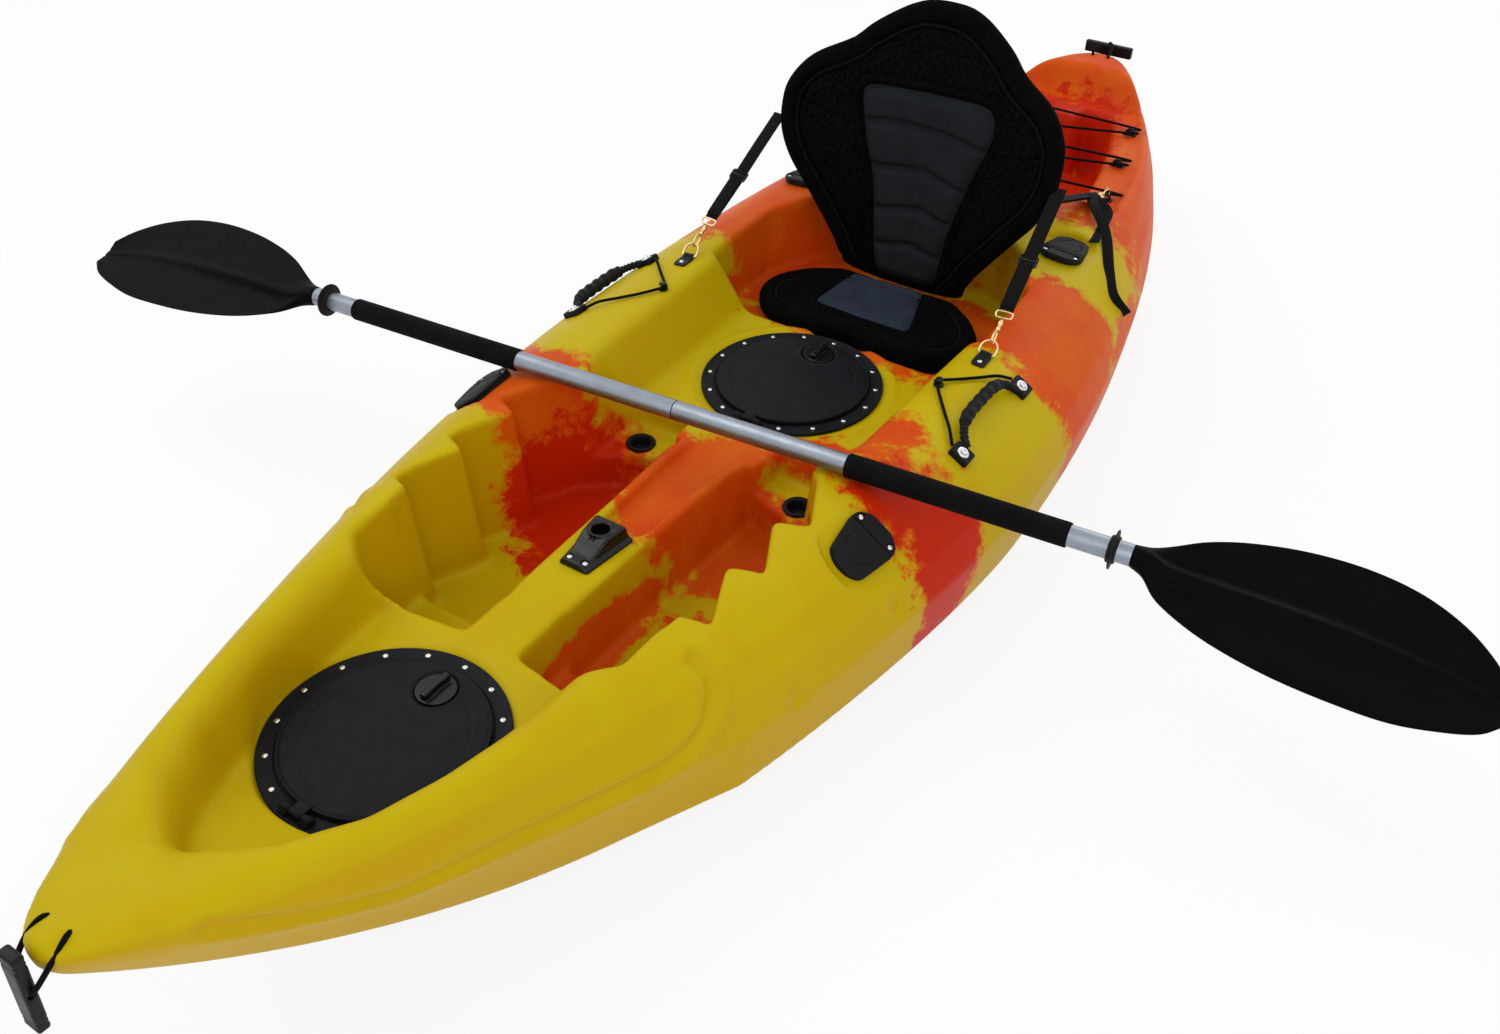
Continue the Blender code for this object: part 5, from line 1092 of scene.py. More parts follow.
def make_hatch(name):
    """Ring with rivets, lid with its hinge, and the turn knob."""
    hatch_y, seat = HATCHES[name]
    at = shift(0.0, hatch_y, seat)
    profile = [(0.1520, 0.0), (0.1520, 0.0045), (0.1508, 0.0058), (0.1490, 0.0058), (0.1475, 0.0050),
               (0.1310, 0.0050), (0.1295, 0.0035), (0.1240, 0.0035), (0.1235, 0.0025),
               (0.1235, -0.0120), (0.1295, -0.0120), (0.1295, 0.0), (0.1520, 0.0)]
    ring = revolve(f"{name}_hatch_ring_fine", profile, M["lid"], at, sides=160, sharp=35)
    settle(ring, "hull", "black_plastic", f"{name}_hatch_ring")
    places = [at @ turn_about("Z", 360 * i / RIVETS - 90) @ shift(RIVET_CIRCLE, 0.0, 0.005)
              for i in range(1, RIVETS)]
    screws(f"{name}_hatch_rivets", 0.0040, 0.0020, places)

    def knuckles(x, y, z):
        side_x = np.abs(x)
        barrel = rod_field(side_x, y, z, (0.0150, HINGE_Y, HINGE_Z), (0.0200, HINGE_Y, HINGE_Z),
                           0.0055)
        foot = box_field(side_x, y, z, (0.0175, HINGE_Y, 0.0065), (0.0060, 0.0085, 0.0025), 0.002)
        return smooth_min(barrel, foot, 0.004)

    hinges = field_piece(f"{name}_hatch_hinge", knuckles, (-0.026, -0.150, 0.002),
                         (0.026, -0.130, 0.017), 0.0010, M["lid"], at)
    settle(hinges, "hull", "black_plastic")

    sides = 240
    angles = np.arange(sides) * 2 * math.pi / sides
    rings = [(radius, np.full(sides, height)) for radius, height in
             ((0.0, 0.0052), (0.1262, 0.0052), (LID_RADIUS, 0.0060), (LID_RADIUS, 0.0094),
              (0.1271, 0.0110))]
    for radius in np.linspace(0.1262, 0.0, 88):
        rings.append((radius, lid_height(radius * np.cos(angles), radius * np.sin(angles))))
    points = np.concatenate([np.stack([radius * np.cos(angles), radius * np.sin(angles), heights],
                                      axis=1) for radius, heights in rings])
    lid = weld(mesh_object(f"{name}_lid_fine", points, grid_faces(len(rings), sides), M["lid"]))
    lid.data.transform(at)
    lid.data.set_sharp_from_angle(angle=math.radians(50))
    settle(lid, f"{name}_lid", "black_plastic", f"{name}_hatch_lid")

    def arm(x, y, z):
        barrel = rod_field(x, y, z, (-0.0068, HINGE_Y, HINGE_Z), (0.0068, HINGE_Y, HINGE_Z), 0.0046)
        bar = box_field(x, y, z, (0.0, -0.131, 0.0100), (0.0100, 0.0085, 0.0028), 0.0015)
        return smooth_min(barrel, bar, 0.003)

    hinge_arm = field_piece(f"{name}_lid_hinge", arm, (-0.012, -0.146, 0.004),
                            (0.012, -0.121, 0.016), 0.0009, M["lid"], at)
    settle(hinge_arm, f"{name}_lid", "black_plastic")

    def knob_shape(x, y, z):
        radial = sqrt(x * x + y * y)
        disc = smooth_max(radial - 0.0262, np.abs(z + 0.0022) - 0.0015, 0.001)
        waist = 0.0050 - 0.0012 * bell(y, 0.010)
        grip = box_field(x, y, z, (0.0, 0.0, 0.0035), (0.0050, 0.0230, 0.0058), 0.0025)
        grip = maximum(grip, np.abs(x) - waist)
        return smooth_min(disc, grip, 0.0022)

    knob = field_piece(f"{name}_knob_fine", knob_shape, (-0.027, -0.027, -0.004),
                       (0.027, 0.027, 0.010), 0.0008, M["gloss"],
                       at @ shift(0.0, KNOB_OFFSET, 0.0125))
    settle(knob, f"{name}_knob", "black_plastic", f"{name}_hatch_knob")


# Rod holders
ROD_PLATE = (
    (-0.030, -0.038), (-0.012, -0.049), (0.012, -0.049), (0.030, -0.038), (0.040, 0.024),
    (0.037, 0.038), (0.020, 0.051), (-0.020, 0.051), (-0.037, 0.038), (-0.040, 0.024),
)
ROD_HINGE_Y = 0.024
ROD_BORE = 0.0200
ROD_TUBE = 0.0235
ROD_SCREW = (0.0285, 0.0335)


def make_rod_holder(end, side, side_name):
    """Plate with its screws and tube, and the rubber cover on a living hinge."""
    plate_at, tube_at = rod_frames(end, side)
    inner = plate_at.inverted() @ tube_at
    outline = soften(ROD_PLATE, 0.008, 4)
    name = f"{end}_rod_holder_{side_name}"

    def plate_shape(x, y, z):
        plan = plan_distance(outline, x, y)
        base = smooth_max(plan, maximum(z - 0.0040, -0.001 - z), 0.0015)
        land = smooth_max(maximum(plan, ROD_HINGE_Y + 0.0006 - y), maximum(z - 0.0100, -z), 0.003)
        shape = minimum(base, land)
        screw = sqrt((np.abs(x) - ROD_SCREW[0]) ** 2 + (y - ROD_SCREW[1]) ** 2) - 0.0062
        shape = maximum(shape, -maximum(screw, 0.0066 - z))
        lx, ly, _ = tilted(x, y, z, inner)
        return maximum(shape, -(sqrt(lx * lx + ly * ly) - ROD_BORE))

    plate = field_piece(f"{name}_plate", plate_shape, (-0.041, -0.050, -0.002),
                        (0.041, 0.052, 0.011), 0.0013, M["rubber"], plate_at)
    settle(plate, "hull", "black_plastic", name)
    profile = [(0.0, -0.180), (ROD_TUBE, -0.180), (ROD_TUBE, -0.004), (ROD_BORE, -0.004),
               (ROD_BORE, -0.176), (0.0, -0.176)]
    tube = revolve(f"{name}_tube", profile, M["plastic"], tube_at, sharp=40)
    settle(tube, "hull", "black_plastic")
    places = [plate_at @ shift(place * ROD_SCREW[0], ROD_SCREW[1], 0.0070) for place in (-1, 1)]
    screws(f"{name}_screws", 0.0044, 0.0022, places)

    def cap_shape(x, y, z):
        plan = maximum(plan_distance(outline, x, y), y - ROD_HINGE_Y + 0.0004)
        radial = sqrt(x * x + (y + 0.006) ** 2)
        angle = np.degrees(np.arctan2(y + 0.006, x))
        arc = bell(radial - 0.0235, 0.0012)
        near = ease(np.abs(np.abs(angle) - 180.0), 62.0, 50.0) + ease(np.abs(angle + 20.0), 62.0, 50.0)
        top = 0.0102 + 0.0008 * (1 - (radial / 0.045) ** 2) - 0.0018 * arc * np.clip(near, 0.0, 1.0)
        top = top - 0.0012 * bell(y - 0.0165, 0.0012) - 0.0010 * bell(y + 0.0405, 0.0010)
        return smooth_max(plan, maximum(z - top, 0.0045 - z), 0.0030)

    cap = field_piece(f"{end}_cap_{side_name}_fine", cap_shape, (-0.041, -0.050, 0.003),
                      (0.041, 0.025, 0.012), 0.0009, M["rubber"], plate_at)
    settle(cap, f"{end}_{side_name}_cap", "rubber", f"{end}_rod_holder_cap_{side_name}")


# Rod base on the console
BASE_SCREW = (0.0135, -0.036)


def make_swivel_base():
    """Glossy wedge with a round socket and two screws."""
    def shape(x, y, z):
        share = (y + 0.048) / 0.096
        half = 0.025 + 0.011 * share
        body = np.abs(x) - half + 0.0060 * ease(z, 0.001, 0.010) + 0.10 * maximum(z, 0.0)
        ends = np.abs(y) - 0.048 + 0.18 * maximum(z, 0.0)
        top = z - 0.0105 - 0.0150 * ease(share, 0.18, 0.62)
        solid = smooth_max(smooth_max(body, ends, 0.006), top, 0.005)
        solid = smooth_max(solid, -z, 0.001)
        socket = sqrt(x * x + (y - 0.018) ** 2)
        solid = smooth_max(solid, -maximum(socket - 0.0130, 0.006 - z), 0.0015)
        solid = smooth_min(solid, smooth_max(np.abs(socket - 0.0160) - 0.0022,
                                             np.abs(z - 0.0235) - 0.0035, 0.001), 0.001)
        screw = sqrt((np.abs(x) - BASE_SCREW[0]) ** 2 + (y - BASE_SCREW[1]) ** 2) - 0.0060
        solid = smooth_max(solid, -maximum(screw, 0.0070 - z), 0.001)
        rib = smooth_max(np.abs(np.abs(x) - 0.0030) - 0.0012, np.abs(y + 0.010) - 0.012, 0.0008)
        return smooth_max(solid, -maximum(rib, 0.020 - z), 0.0008)

    at = shift(0.0, -0.545, CONSOLE_Z + 0.0003)
    base = field_piece("swivel_base_fine", shape, (-0.037, -0.049, -0.001), (0.037, 0.049, 0.028),
                       0.0012, M["gloss"], at)
    settle(base, "hull", "black_plastic", "swivel_rod_base")
    places = [at @ shift(place * BASE_SCREW[0], BASE_SCREW[1], 0.0072) for place in (-1, 1)]
    screws("swivel_base_screws", 0.0042, 0.0022, places)


# Scupper plugs
def make_plug(side, side_name):
    """Dished rubber plug."""
    profile = [(0.0, -0.022), (0.0145, -0.022), (0.0185, -0.008), (0.0190, 0.0), (0.0240, 0.0),
               (0.0245, 0.0018), (0.0232, 0.0034), (0.0185, 0.0030), (0.0165, 0.0012),
               (0.0150, -0.0060), (0.0140, -0.0145), (0.0060, -0.0150), (0.0050, -0.0110),
               (0.0, -0.0105)]
    plug = revolve(f"plug_{side_name}_fine", profile, M["rubber"],
                   shift(side * SCUPPER[0], SCUPPER[1], SCUPPER_FLOOR + 0.0003), 48, 0.0012)
    settle(plug, f"{side_name}_scupper_plug", "rubber", f"scupper_plug_{side_name}")


# Carry handles and paddle keepers
GRIP_REACH = 0.0885
GRIP_RISE = 0.035
KEEPER_HOOK = (0.262, -0.010)
HANDLE_RISE_WAY = {1: (-0.6966, -0.00323, 0.71745), -1: (-0.93453, -0.00217, -0.35587)}


def make_handle(side, side_name):
    """Curved grip between two pads, and the shock cord that keeps the paddle."""
    along_way = (side * 0.0064, 0.99992, 0.01071)
    at = frame_at((side * 0.362589, -0.024087, 0.26781), HANDLE_RISE_WAY[side], along_way)
    along = np.linspace(-GRIP_REACH, GRIP_REACH, 150)
    away = np.abs(along)
    rise = GRIP_RISE * (1 - (away / GRIP_REACH) ** 4) ** 0.8
    path = [at @ Vector((0.0, y, z)) for y, z in zip(along, rise)]
    body = ease(away, 0.064, 0.056)
    ribs = 0.0009 * np.cos(2 * math.pi * along / 0.0050) * (1 - body) * ease(away, 0.0870, 0.084)
    fingers = 0.0011 * np.cos(2 * math.pi * along / 0.021) * body
    radius = 0.0062 + 0.0034 * body + ribs
    scales = np.stack([radius * (1.0 + 0.12 * body) + fingers, radius + 0.6 * fingers], axis=1)
    grip = sweep(f"grip_{side_name}_fine", path, circle(1.0, 24), M["rubber"],
                 hint=at.col[0].to_3d(), scales=scales)
    settle(grip, f"{side_name}_handle", "rubber", f"carry_handle_grip_{side_name}")

    middle = frame_at((side * 0.35823, -0.02398, 0.26051), (side * 0.51269, -0.01248, 0.85848),
                      (0.0, 1.0, 0.0))
    width, length, height = HANDLE_PAD
    for place, end in ((-1, "bow"), (1, "stern")):
        pad_at = middle @ shift(0.0, place * HANDLE_SPACING / 2, 0.0)

        def pad_shape(x, y, z):
            block = box_field(x, y, z, (0.0, 0.0, 0.0052), (width / 2, length / 2, 0.0068), 0.0035)
            seat = sqrt(x * x + y * y) - 0.0115
            return smooth_max(block, -maximum(seat, 0.0104 - z), 0.001)

        pad = field_piece(f"pad_{end}_{side_name}", pad_shape, (-0.018, -0.016, -0.002),
                          (0.018, 0.016, 0.013), 0.0010, M["rubber"], pad_at)
        settle(pad, "hull", "rubber", f"carry_handle_pad_{end}_{side_name}")
        washer = [(0.0, 0.0095), (0.0100, 0.0095), (0.0100, 0.0112), (0.0088, 0.0122),
                  (0.0062, 0.0125), (0.0058, 0.0150), (0.0046, 0.0160), (0.0026, 0.0160),
                  (0.0022, 0.0140), (0.0, 0.0138)]
        bolt = revolve(f"bolt_{end}_{side_name}", washer, M["steel"], pad_at, 32, 0.0005, 40)
        settle(bolt, "hull", "aluminium")

    hook_at = on_deck(side * KEEPER_HOOK[0], KEEPER_HOOK[1])
    post = [(0.0, 0.0), (0.0085, 0.0), (0.0085, 0.0018), (0.0070, 0.0026), (0.0034, 0.0034),
            (0.0030, 0.0085), (0.0050, 0.0092), (0.0070, 0.0100), (0.0062, 0.0122), (0.0, 0.0130)]
    hook = revolve(f"keeper_hook_{side_name}_fine", post, M["plastic"], hook_at, 24, 0.0006)
    settle(hook, "hull", "black_plastic", f"paddle_keeper_hook_{side_name}")
    face = width / 2 + 0.0022
    ends = [middle @ Vector((-side * face, place * HANDLE_SPACING / 2, height / 2))
            for place in (-1, 1)]
    turn = [hook_at @ Vector((-side * 0.0060 * math.cos(a), 0.0060 * math.sin(a), 0.0060))
            for a in np.radians((-75, -25, 25, 75))]

    def lead(start, end, share):
        point = start.lerp(end, share)
        point.z = max(point.z, deck_height(point.x, point.y) + 0.0045)
        return point

    run = [ends[0]] + [lead(ends[0], turn[0], s) for s in (0.2, 0.45, 0.7, 0.9)] + turn
    run += [lead(ends[1], turn[-1], s) for s in (0.9, 0.7, 0.45, 0.2)] + [ends[1]]
    cord = sweep(f"keeper_{side_name}_fine", spline(run, 6), circle(0.0025, 10), M["cord"])
    settle(cord, "hull", "cord", f"paddle_keeper_{side_name}")


# D-rings, snap hooks and straps
TAB_PLACE = (0.288, 0.088)
TAB_BAR = (0.0170, 0.0045)


def make_d_ring(side, side_name):
    """Tab with its rivet, and the ring."""
    at = on_deck(side * TAB_PLACE[0], TAB_PLACE[1])
    bar_y, bar_z = TAB_BAR

    def tab_shape(x, y, z):
        plate = box_field(x, y, z, (0.0, 0.0, 0.0016), (0.0120, 0.0170, 0.0016), 0.0012)
        plate = maximum(plate, np.abs(x) + 0.5 * np.abs(y) - 0.0175)
        barrel = rod_field(x, y, z, (-0.0070, bar_y, bar_z), (0.0070, bar_y, bar_z), 0.0042)
        shape = smooth_min(plate, barrel, 0.003)
        return smooth_max(shape, 0.0021 - sqrt((y - bar_y) ** 2 + (z - bar_z) ** 2), 0.0005)

    tab = field_piece(f"tab_{side_name}_fine", tab_shape, (-0.013, -0.018, -0.001),
                      (0.013, 0.022, 0.009), 0.0008, M["plastic"], at)
    settle(tab, "hull", "black_plastic", f"d_ring_tab_{side_name}")
    rivet = revolve(f"tab_rivet_{side_name}", dome(0.0042, 0.0022), M["steel"],
                    at @ shift(0.0, -0.0060, 0.0032), 20)
    settle(rivet, "hull", "aluminium")
    bow = at @ shift(0.0, bar_y, bar_z) @ turn_about("X", 38.0)
    outline = [(-0.014, 0.0), (0.0, 0.0), (0.014, 0.0)]
    outline += [(0.014 * math.cos(a), 0.010 + 0.014 * math.sin(a))
                for a in np.radians(range(0, 181, 20))]
    run = soften([bow @ Vector((x, y, 0.0)) for x, y in outline], 0.003, 3)
    ring = sweep(f"ring_{side_name}_fine", run, circle(0.0018, 12), M["brass"],
                 hint=bow.col[2].to_3d(), loop=True)
    settle(ring, "hull", "brass", f"d_ring_{side_name}")


def make_hook(end, side_name, start, stop):
    """Swivel snap hook between a ring and a strap."""
    pull = (stop - start).normalized()
    across = Vector((1.0, 0.0, 0.0))
    across = (across - pull * across.dot(pull)).normalized()
    up = pull.cross(across)
    start = start - pull * 0.0045

    def spots(pairs, way):
        return [start + pull * s + way * w for s, w in pairs]

    loop = [(0.0, 0.0), (0.0035, -0.0062), (0.012, -0.0080), (0.021, -0.0050), (0.0245, 0.0),
            (0.021, 0.0050), (0.012, 0.0080), (0.0035, 0.0062)]
    pieces = [sweep(f"{end}_hook_loop_{side_name}", spline(spots(loop, up), 5, True),
                    circle(0.0018, 10), M["brass"], hint=across, loop=True)]
    stations = [(0.0235, 0.0018), (0.0245, 0.0036), (0.0300, 0.0038), (0.0305, 0.0030),
                (0.0330, 0.0030), (0.0335, 0.0042), (0.0420, 0.0040), (0.0430, 0.0024),
                (0.0480, 0.0022)]
    path = spots([(s, 0.0) for s, _ in stations], up)
    scales = [(r, r) for _, r in stations]
    pieces.append(sweep(f"{end}_hook_body_{side_name}", path, circle(1.0, 16), M["brass"],
                        hint=across, scales=scales))
    thumb = spots([(0.0140, 0.0075), (0.0150, 0.0110), (0.0158, 0.0120)], up)
    pieces.append(sweep(f"{end}_hook_thumb_{side_name}", thumb, circle(0.0014, 10), M["brass"],
                        hint=across))
    eye = [(0.0478, -0.0130), (0.0478, 0.0), (0.0478, 0.0130), (0.0590, 0.0145),
           (0.0600, 0.0), (0.0590, -0.0145)]
    pieces.append(sweep(f"{end}_hook_eye_{side_name}", soften(spots(eye, across), 0.004, 4),
                        circle(0.0017, 10), M["brass"], hint=up, loop=True))
    for index, piece in enumerate(pieces):
        nodes = [f"{end}_snap_hook_{side_name}"] if index == 0 else []
        settle(piece, "hull", "brass", *nodes)


def ribbon(name, points, width_way, width=0.024, thick=0.0018):
    """Webbing along a run of points."""
    section = oblong(width, thick, thick * 0.45, 2)
    return sweep(name, spline(points), section, M["webbing"], hint=width_way)


FRONT_HOOK = ((0.2888, 0.1239, 0.3037), (0.2861, 0.1718, 0.3343))
REAR_HOOK = ((0.2425, 0.7590, 0.2928), (0.2336, 0.7046, 0.3076))
FRONT_STRAP_TOP = (0.2722, 0.3768, 0.4606)
REAR_STRAP_TOP = (0.1850, 0.4075, 0.3890)
SLIDE_HALF = (0.0150, 0.009)
SHORT_TAIL = ((0.230, 0.690, 0.3170), (0.250, 0.668, 0.3190), (0.280, 0.651, 0.3080),
              (0.290, 0.600, 0.3010), (0.296, 0.545, 0.2970))
LONG_TAIL = ((0.229, 0.682, 0.3200), (0.262, 0.630, 0.3200), (0.305, 0.580, 0.3010),
             (0.345, 0.508, 0.2700), (0.372, 0.470, 0.2470), (0.396, 0.492, 0.2060))


def on_side(point, side):
    """Point of the port side, or its mirror image."""
    return Vector((side * point[0], *point[1:]))


def stretch(pieces, slot, low, high):
    """Pieces that join the hull to the seat's back."""
    for piece in pieces:
        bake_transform(piece)


def belt(end, side_name, low, high, sag, second):
    """Webbing pulled from low to high, with its turned-back second layer."""
    points = [low, low.lerp(high, 0.33) - Vector((0.0, 0.0, sag)), low.lerp(high, 0.66), high]
    main = ribbon(f"{end}_strap_{side_name}_fine", points, (1.0, 0.0, 0.0))
    double = ribbon(f"{end}_strap_double_{side_name}", second, (1.0, 0.0, 0.0))
    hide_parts(f"{end}_seat_strap_{side_name}")
    stretch((main, double), "fabric", low, high)


def make_straps(side, side_name):
    """Front and rear webbing with their adjusters and tails."""
    low = on_side(FRONT_HOOK[1], side)
    high = on_side(FRONT_STRAP_TOP, side)
    run = (high - low).normalized()
    out = Vector((0.0, -0.52, 0.85))
    belt("front", side_name, low, high, 0.002,
         [low + run * 0.006 + out * 0.0022, low.lerp(high, 0.2) + out * 0.0030,
          low.lerp(high, 0.44) + out * 0.0028])
    slide_at = frame_at(low.lerp(high, 0.40), out, run)
    half, reach = SLIDE_HALF
    corners = [slide_at @ Vector((x, y, 0.001)) for x, y in
               ((-half, -reach), (half, -reach), (half, reach), (-half, reach))]
    slide = sweep(f"front_slide_{side_name}", soften(corners, 0.003, 3),
                  oblong(0.0032, 0.0036, 0.001), M["gloss"], hint=out, loop=True)
    bar_run = [slide_at @ Vector((x, 0.0, 0.003)) for x in (-half, 0.0, half)]
    bar = sweep(f"front_slide_bar_{side_name}", bar_run, oblong(0.0028, 0.0026, 0.0008), M["gloss"],
                hint=out)
    stretch((slide, bar), "black_plastic", low, high)

    low = on_side(REAR_HOOK[1], side)
    high = on_side(REAR_STRAP_TOP, side)
    up = Vector((0.0, 0.0, 1.0))
    belt("rear", side_name, low, high, 0.0,
         [low + up * 0.003, low.lerp(high, 0.3) + up * 0.0035, low.lerp(high, 0.6) + up * 0.003])
    tails = (("short", SHORT_TAIL), ("long", LONG_TAIL))
    for length, run in tails if side > 0 else tails[:1]:
        tail = ribbon(f"strap_tail_{length}_{side_name}", [on_side(point, side) for point in run],
                      (0.75 * side, 0.60, 0.20), 0.019, 0.0014)
        settle(tail, "hull", "fabric")


# Tank well
def make_tank_well():
    """Pad eyes and the shock cord laced through them."""
    for side, side_name in SIDES:
        for number, (x, y) in enumerate(PAD_EYES, 1):
            at = shift(side * x, y, EYE_LEVEL)

            def eye_shape(px, py, pz):
                foot = box_field(px, py, pz, (0.0, 0.0, -0.0012), (0.0140, 0.0070, 0.0014), 0.0012)
                arch = sqrt((sqrt(px * px + (pz - 0.0015) ** 2) - 0.0088) ** 2 + py * py) - 0.0022
                return smooth_min(foot, maximum(arch, -0.002 - pz), 0.0025)

            eye = field_piece(f"eye_{number}_{side_name}", eye_shape, (-0.015, -0.008, -0.003),
                              (0.015, 0.008, 0.013), 0.0008, M["plastic"], at)
            settle(eye, "hull", "black_plastic", f"pad_eye_{number}_{side_name}")
    points = []
    for x, y in PAD_EYES:
        for side in (-1, 1):
            run = -1 if points else 1
            for inward, along in ((0.009, -0.018), (0.0030, -0.006), (0.0030, 0.006),
                                  (0.009, 0.018)):
                points.append((side * (x - inward), y + run * along, EYE_LEVEL + 0.0068))
    path = spline(points, 6)
    cord = sweep("bungee_fine", path, circle(0.0026, 10), M["cord"])
    settle(cord, "hull", "cord", "tank_well_bungee")


# Toggles
BOW_BAR = (0.0, -1.4025, 0.278)
STERN_BAR = (0.0, 1.376, 0.338)
BAR_HALF = (0.0125, 0.0068, 0.0550)
LOOP_RADIUS = 0.0030


def toggle_bar(name, place):
    """Flat moulded bar with a hole through its middle."""
    def shape(x, y, z):
        bar = box_field(x, y, z, (0.0, 0.0, 0.0), BAR_HALF, 0.0032)
        grooves = bell(np.abs(z) - 0.040, 0.0016) + bell(np.abs(z) - 0.046, 0.0016)
        bar = bar + 0.0010 * grooves * ease(np.abs(y), 0.004, 0.006)
        hole = sqrt(y * y + z * z) - 0.0040
        return smooth_max(bar, -hole, 0.001)

    low = tuple(-half for half in BAR_HALF)
    return field_piece(name, shape, low, BAR_HALF, 0.0012, M["plastic"], place)


def make_toggles():
    """Bars and cord loops at both tips."""
    lean = math.degrees(math.atan2(0.0105, 0.112))
    bow = toggle_bar("bow_bar", shift(*BOW_BAR) @ turn_about("X", -lean))
    settle(bow, "bow_toggle", "black_plastic", "bow_toggle")
    run = [BOW_BAR, (0.0100, -1.4020, 0.2800), (0.0165, -1.3975, 0.2880), (0.0205, -1.3860, 0.3010),
           (0.0215, -1.3700, 0.3140), (0.0190, -1.3560, 0.3210), (0.0150, -1.3490, 0.3180),
           (0.0080, -1.3470, 0.3120)]
    full = run + [(-x, y, z) for x, y, z in reversed(run)][:-1]
    cord = sweep("bow_cord_fine", spline(full, 6, True), circle(LOOP_RADIUS, 10), M["cord"], loop=True)
    settle(cord, "bow_toggle", "cord", "bow_toggle_cord")

    stern = toggle_bar("stern_bar", shift(*STERN_BAR) @ turn_about("Y", 90))
    settle(stern, "stern_toggle", "black_plastic", "stern_toggle")
    points = [(0.0, 1.3160, 0.3280), (0.0150, 1.3180, 0.3320), (0.0190, 1.3240, 0.3440),
              (0.0170, 1.3420, 0.3490), (0.0090, 1.3640, 0.3530), (0.0, 1.3760, 0.3520),
              STERN_BAR, (-0.0010, 1.3740, 0.3250), (-0.0060, 1.3640, 0.3230),
              (-0.0120, 1.3620, 0.3360), (-0.0175, 1.3500, 0.3480), (-0.0195, 1.3340, 0.3490),
              (-0.0180, 1.3220, 0.3420), (-0.0120, 1.3170, 0.3320)]
    cord = sweep("stern_cord_fine", spline(points, 6, True), circle(LOOP_RADIUS, 10), M["cord"],
                 loop=True)
    settle(cord, "stern_toggle", "cord", "stern_toggle_cord")


# Paddle
SHAFT_END = 0.680
SHAFT_RADIUS = 0.0150
FOAM = (0.2775, 0.5965)
BLADE_LENGTH = 0.452
BLADE_TURN = 20.0

# Blade: reach, half width, offset of its middle and half thickness
BLADE_STATIONS = (
    (0.000, 0.0150, 0.0000, 0.0150), (0.020, 0.0225, -0.0035, 0.0145),
    (0.045, 0.0425, -0.0115, 0.0130), (0.085, 0.0645, -0.0115, 0.0115),
    (0.135, 0.0815, -0.0115, 0.0100), (0.200, 0.0940, -0.0120, 0.0085),
    (0.270, 0.0980, -0.0140, 0.0070), (0.335, 0.0925, -0.0195, 0.0055),
    (0.390, 0.0745, -0.0265, 0.0040), (0.430, 0.0510, -0.0360, 0.0026),
    (BLADE_LENGTH, 0.0260, -0.0420, 0.0020),
)


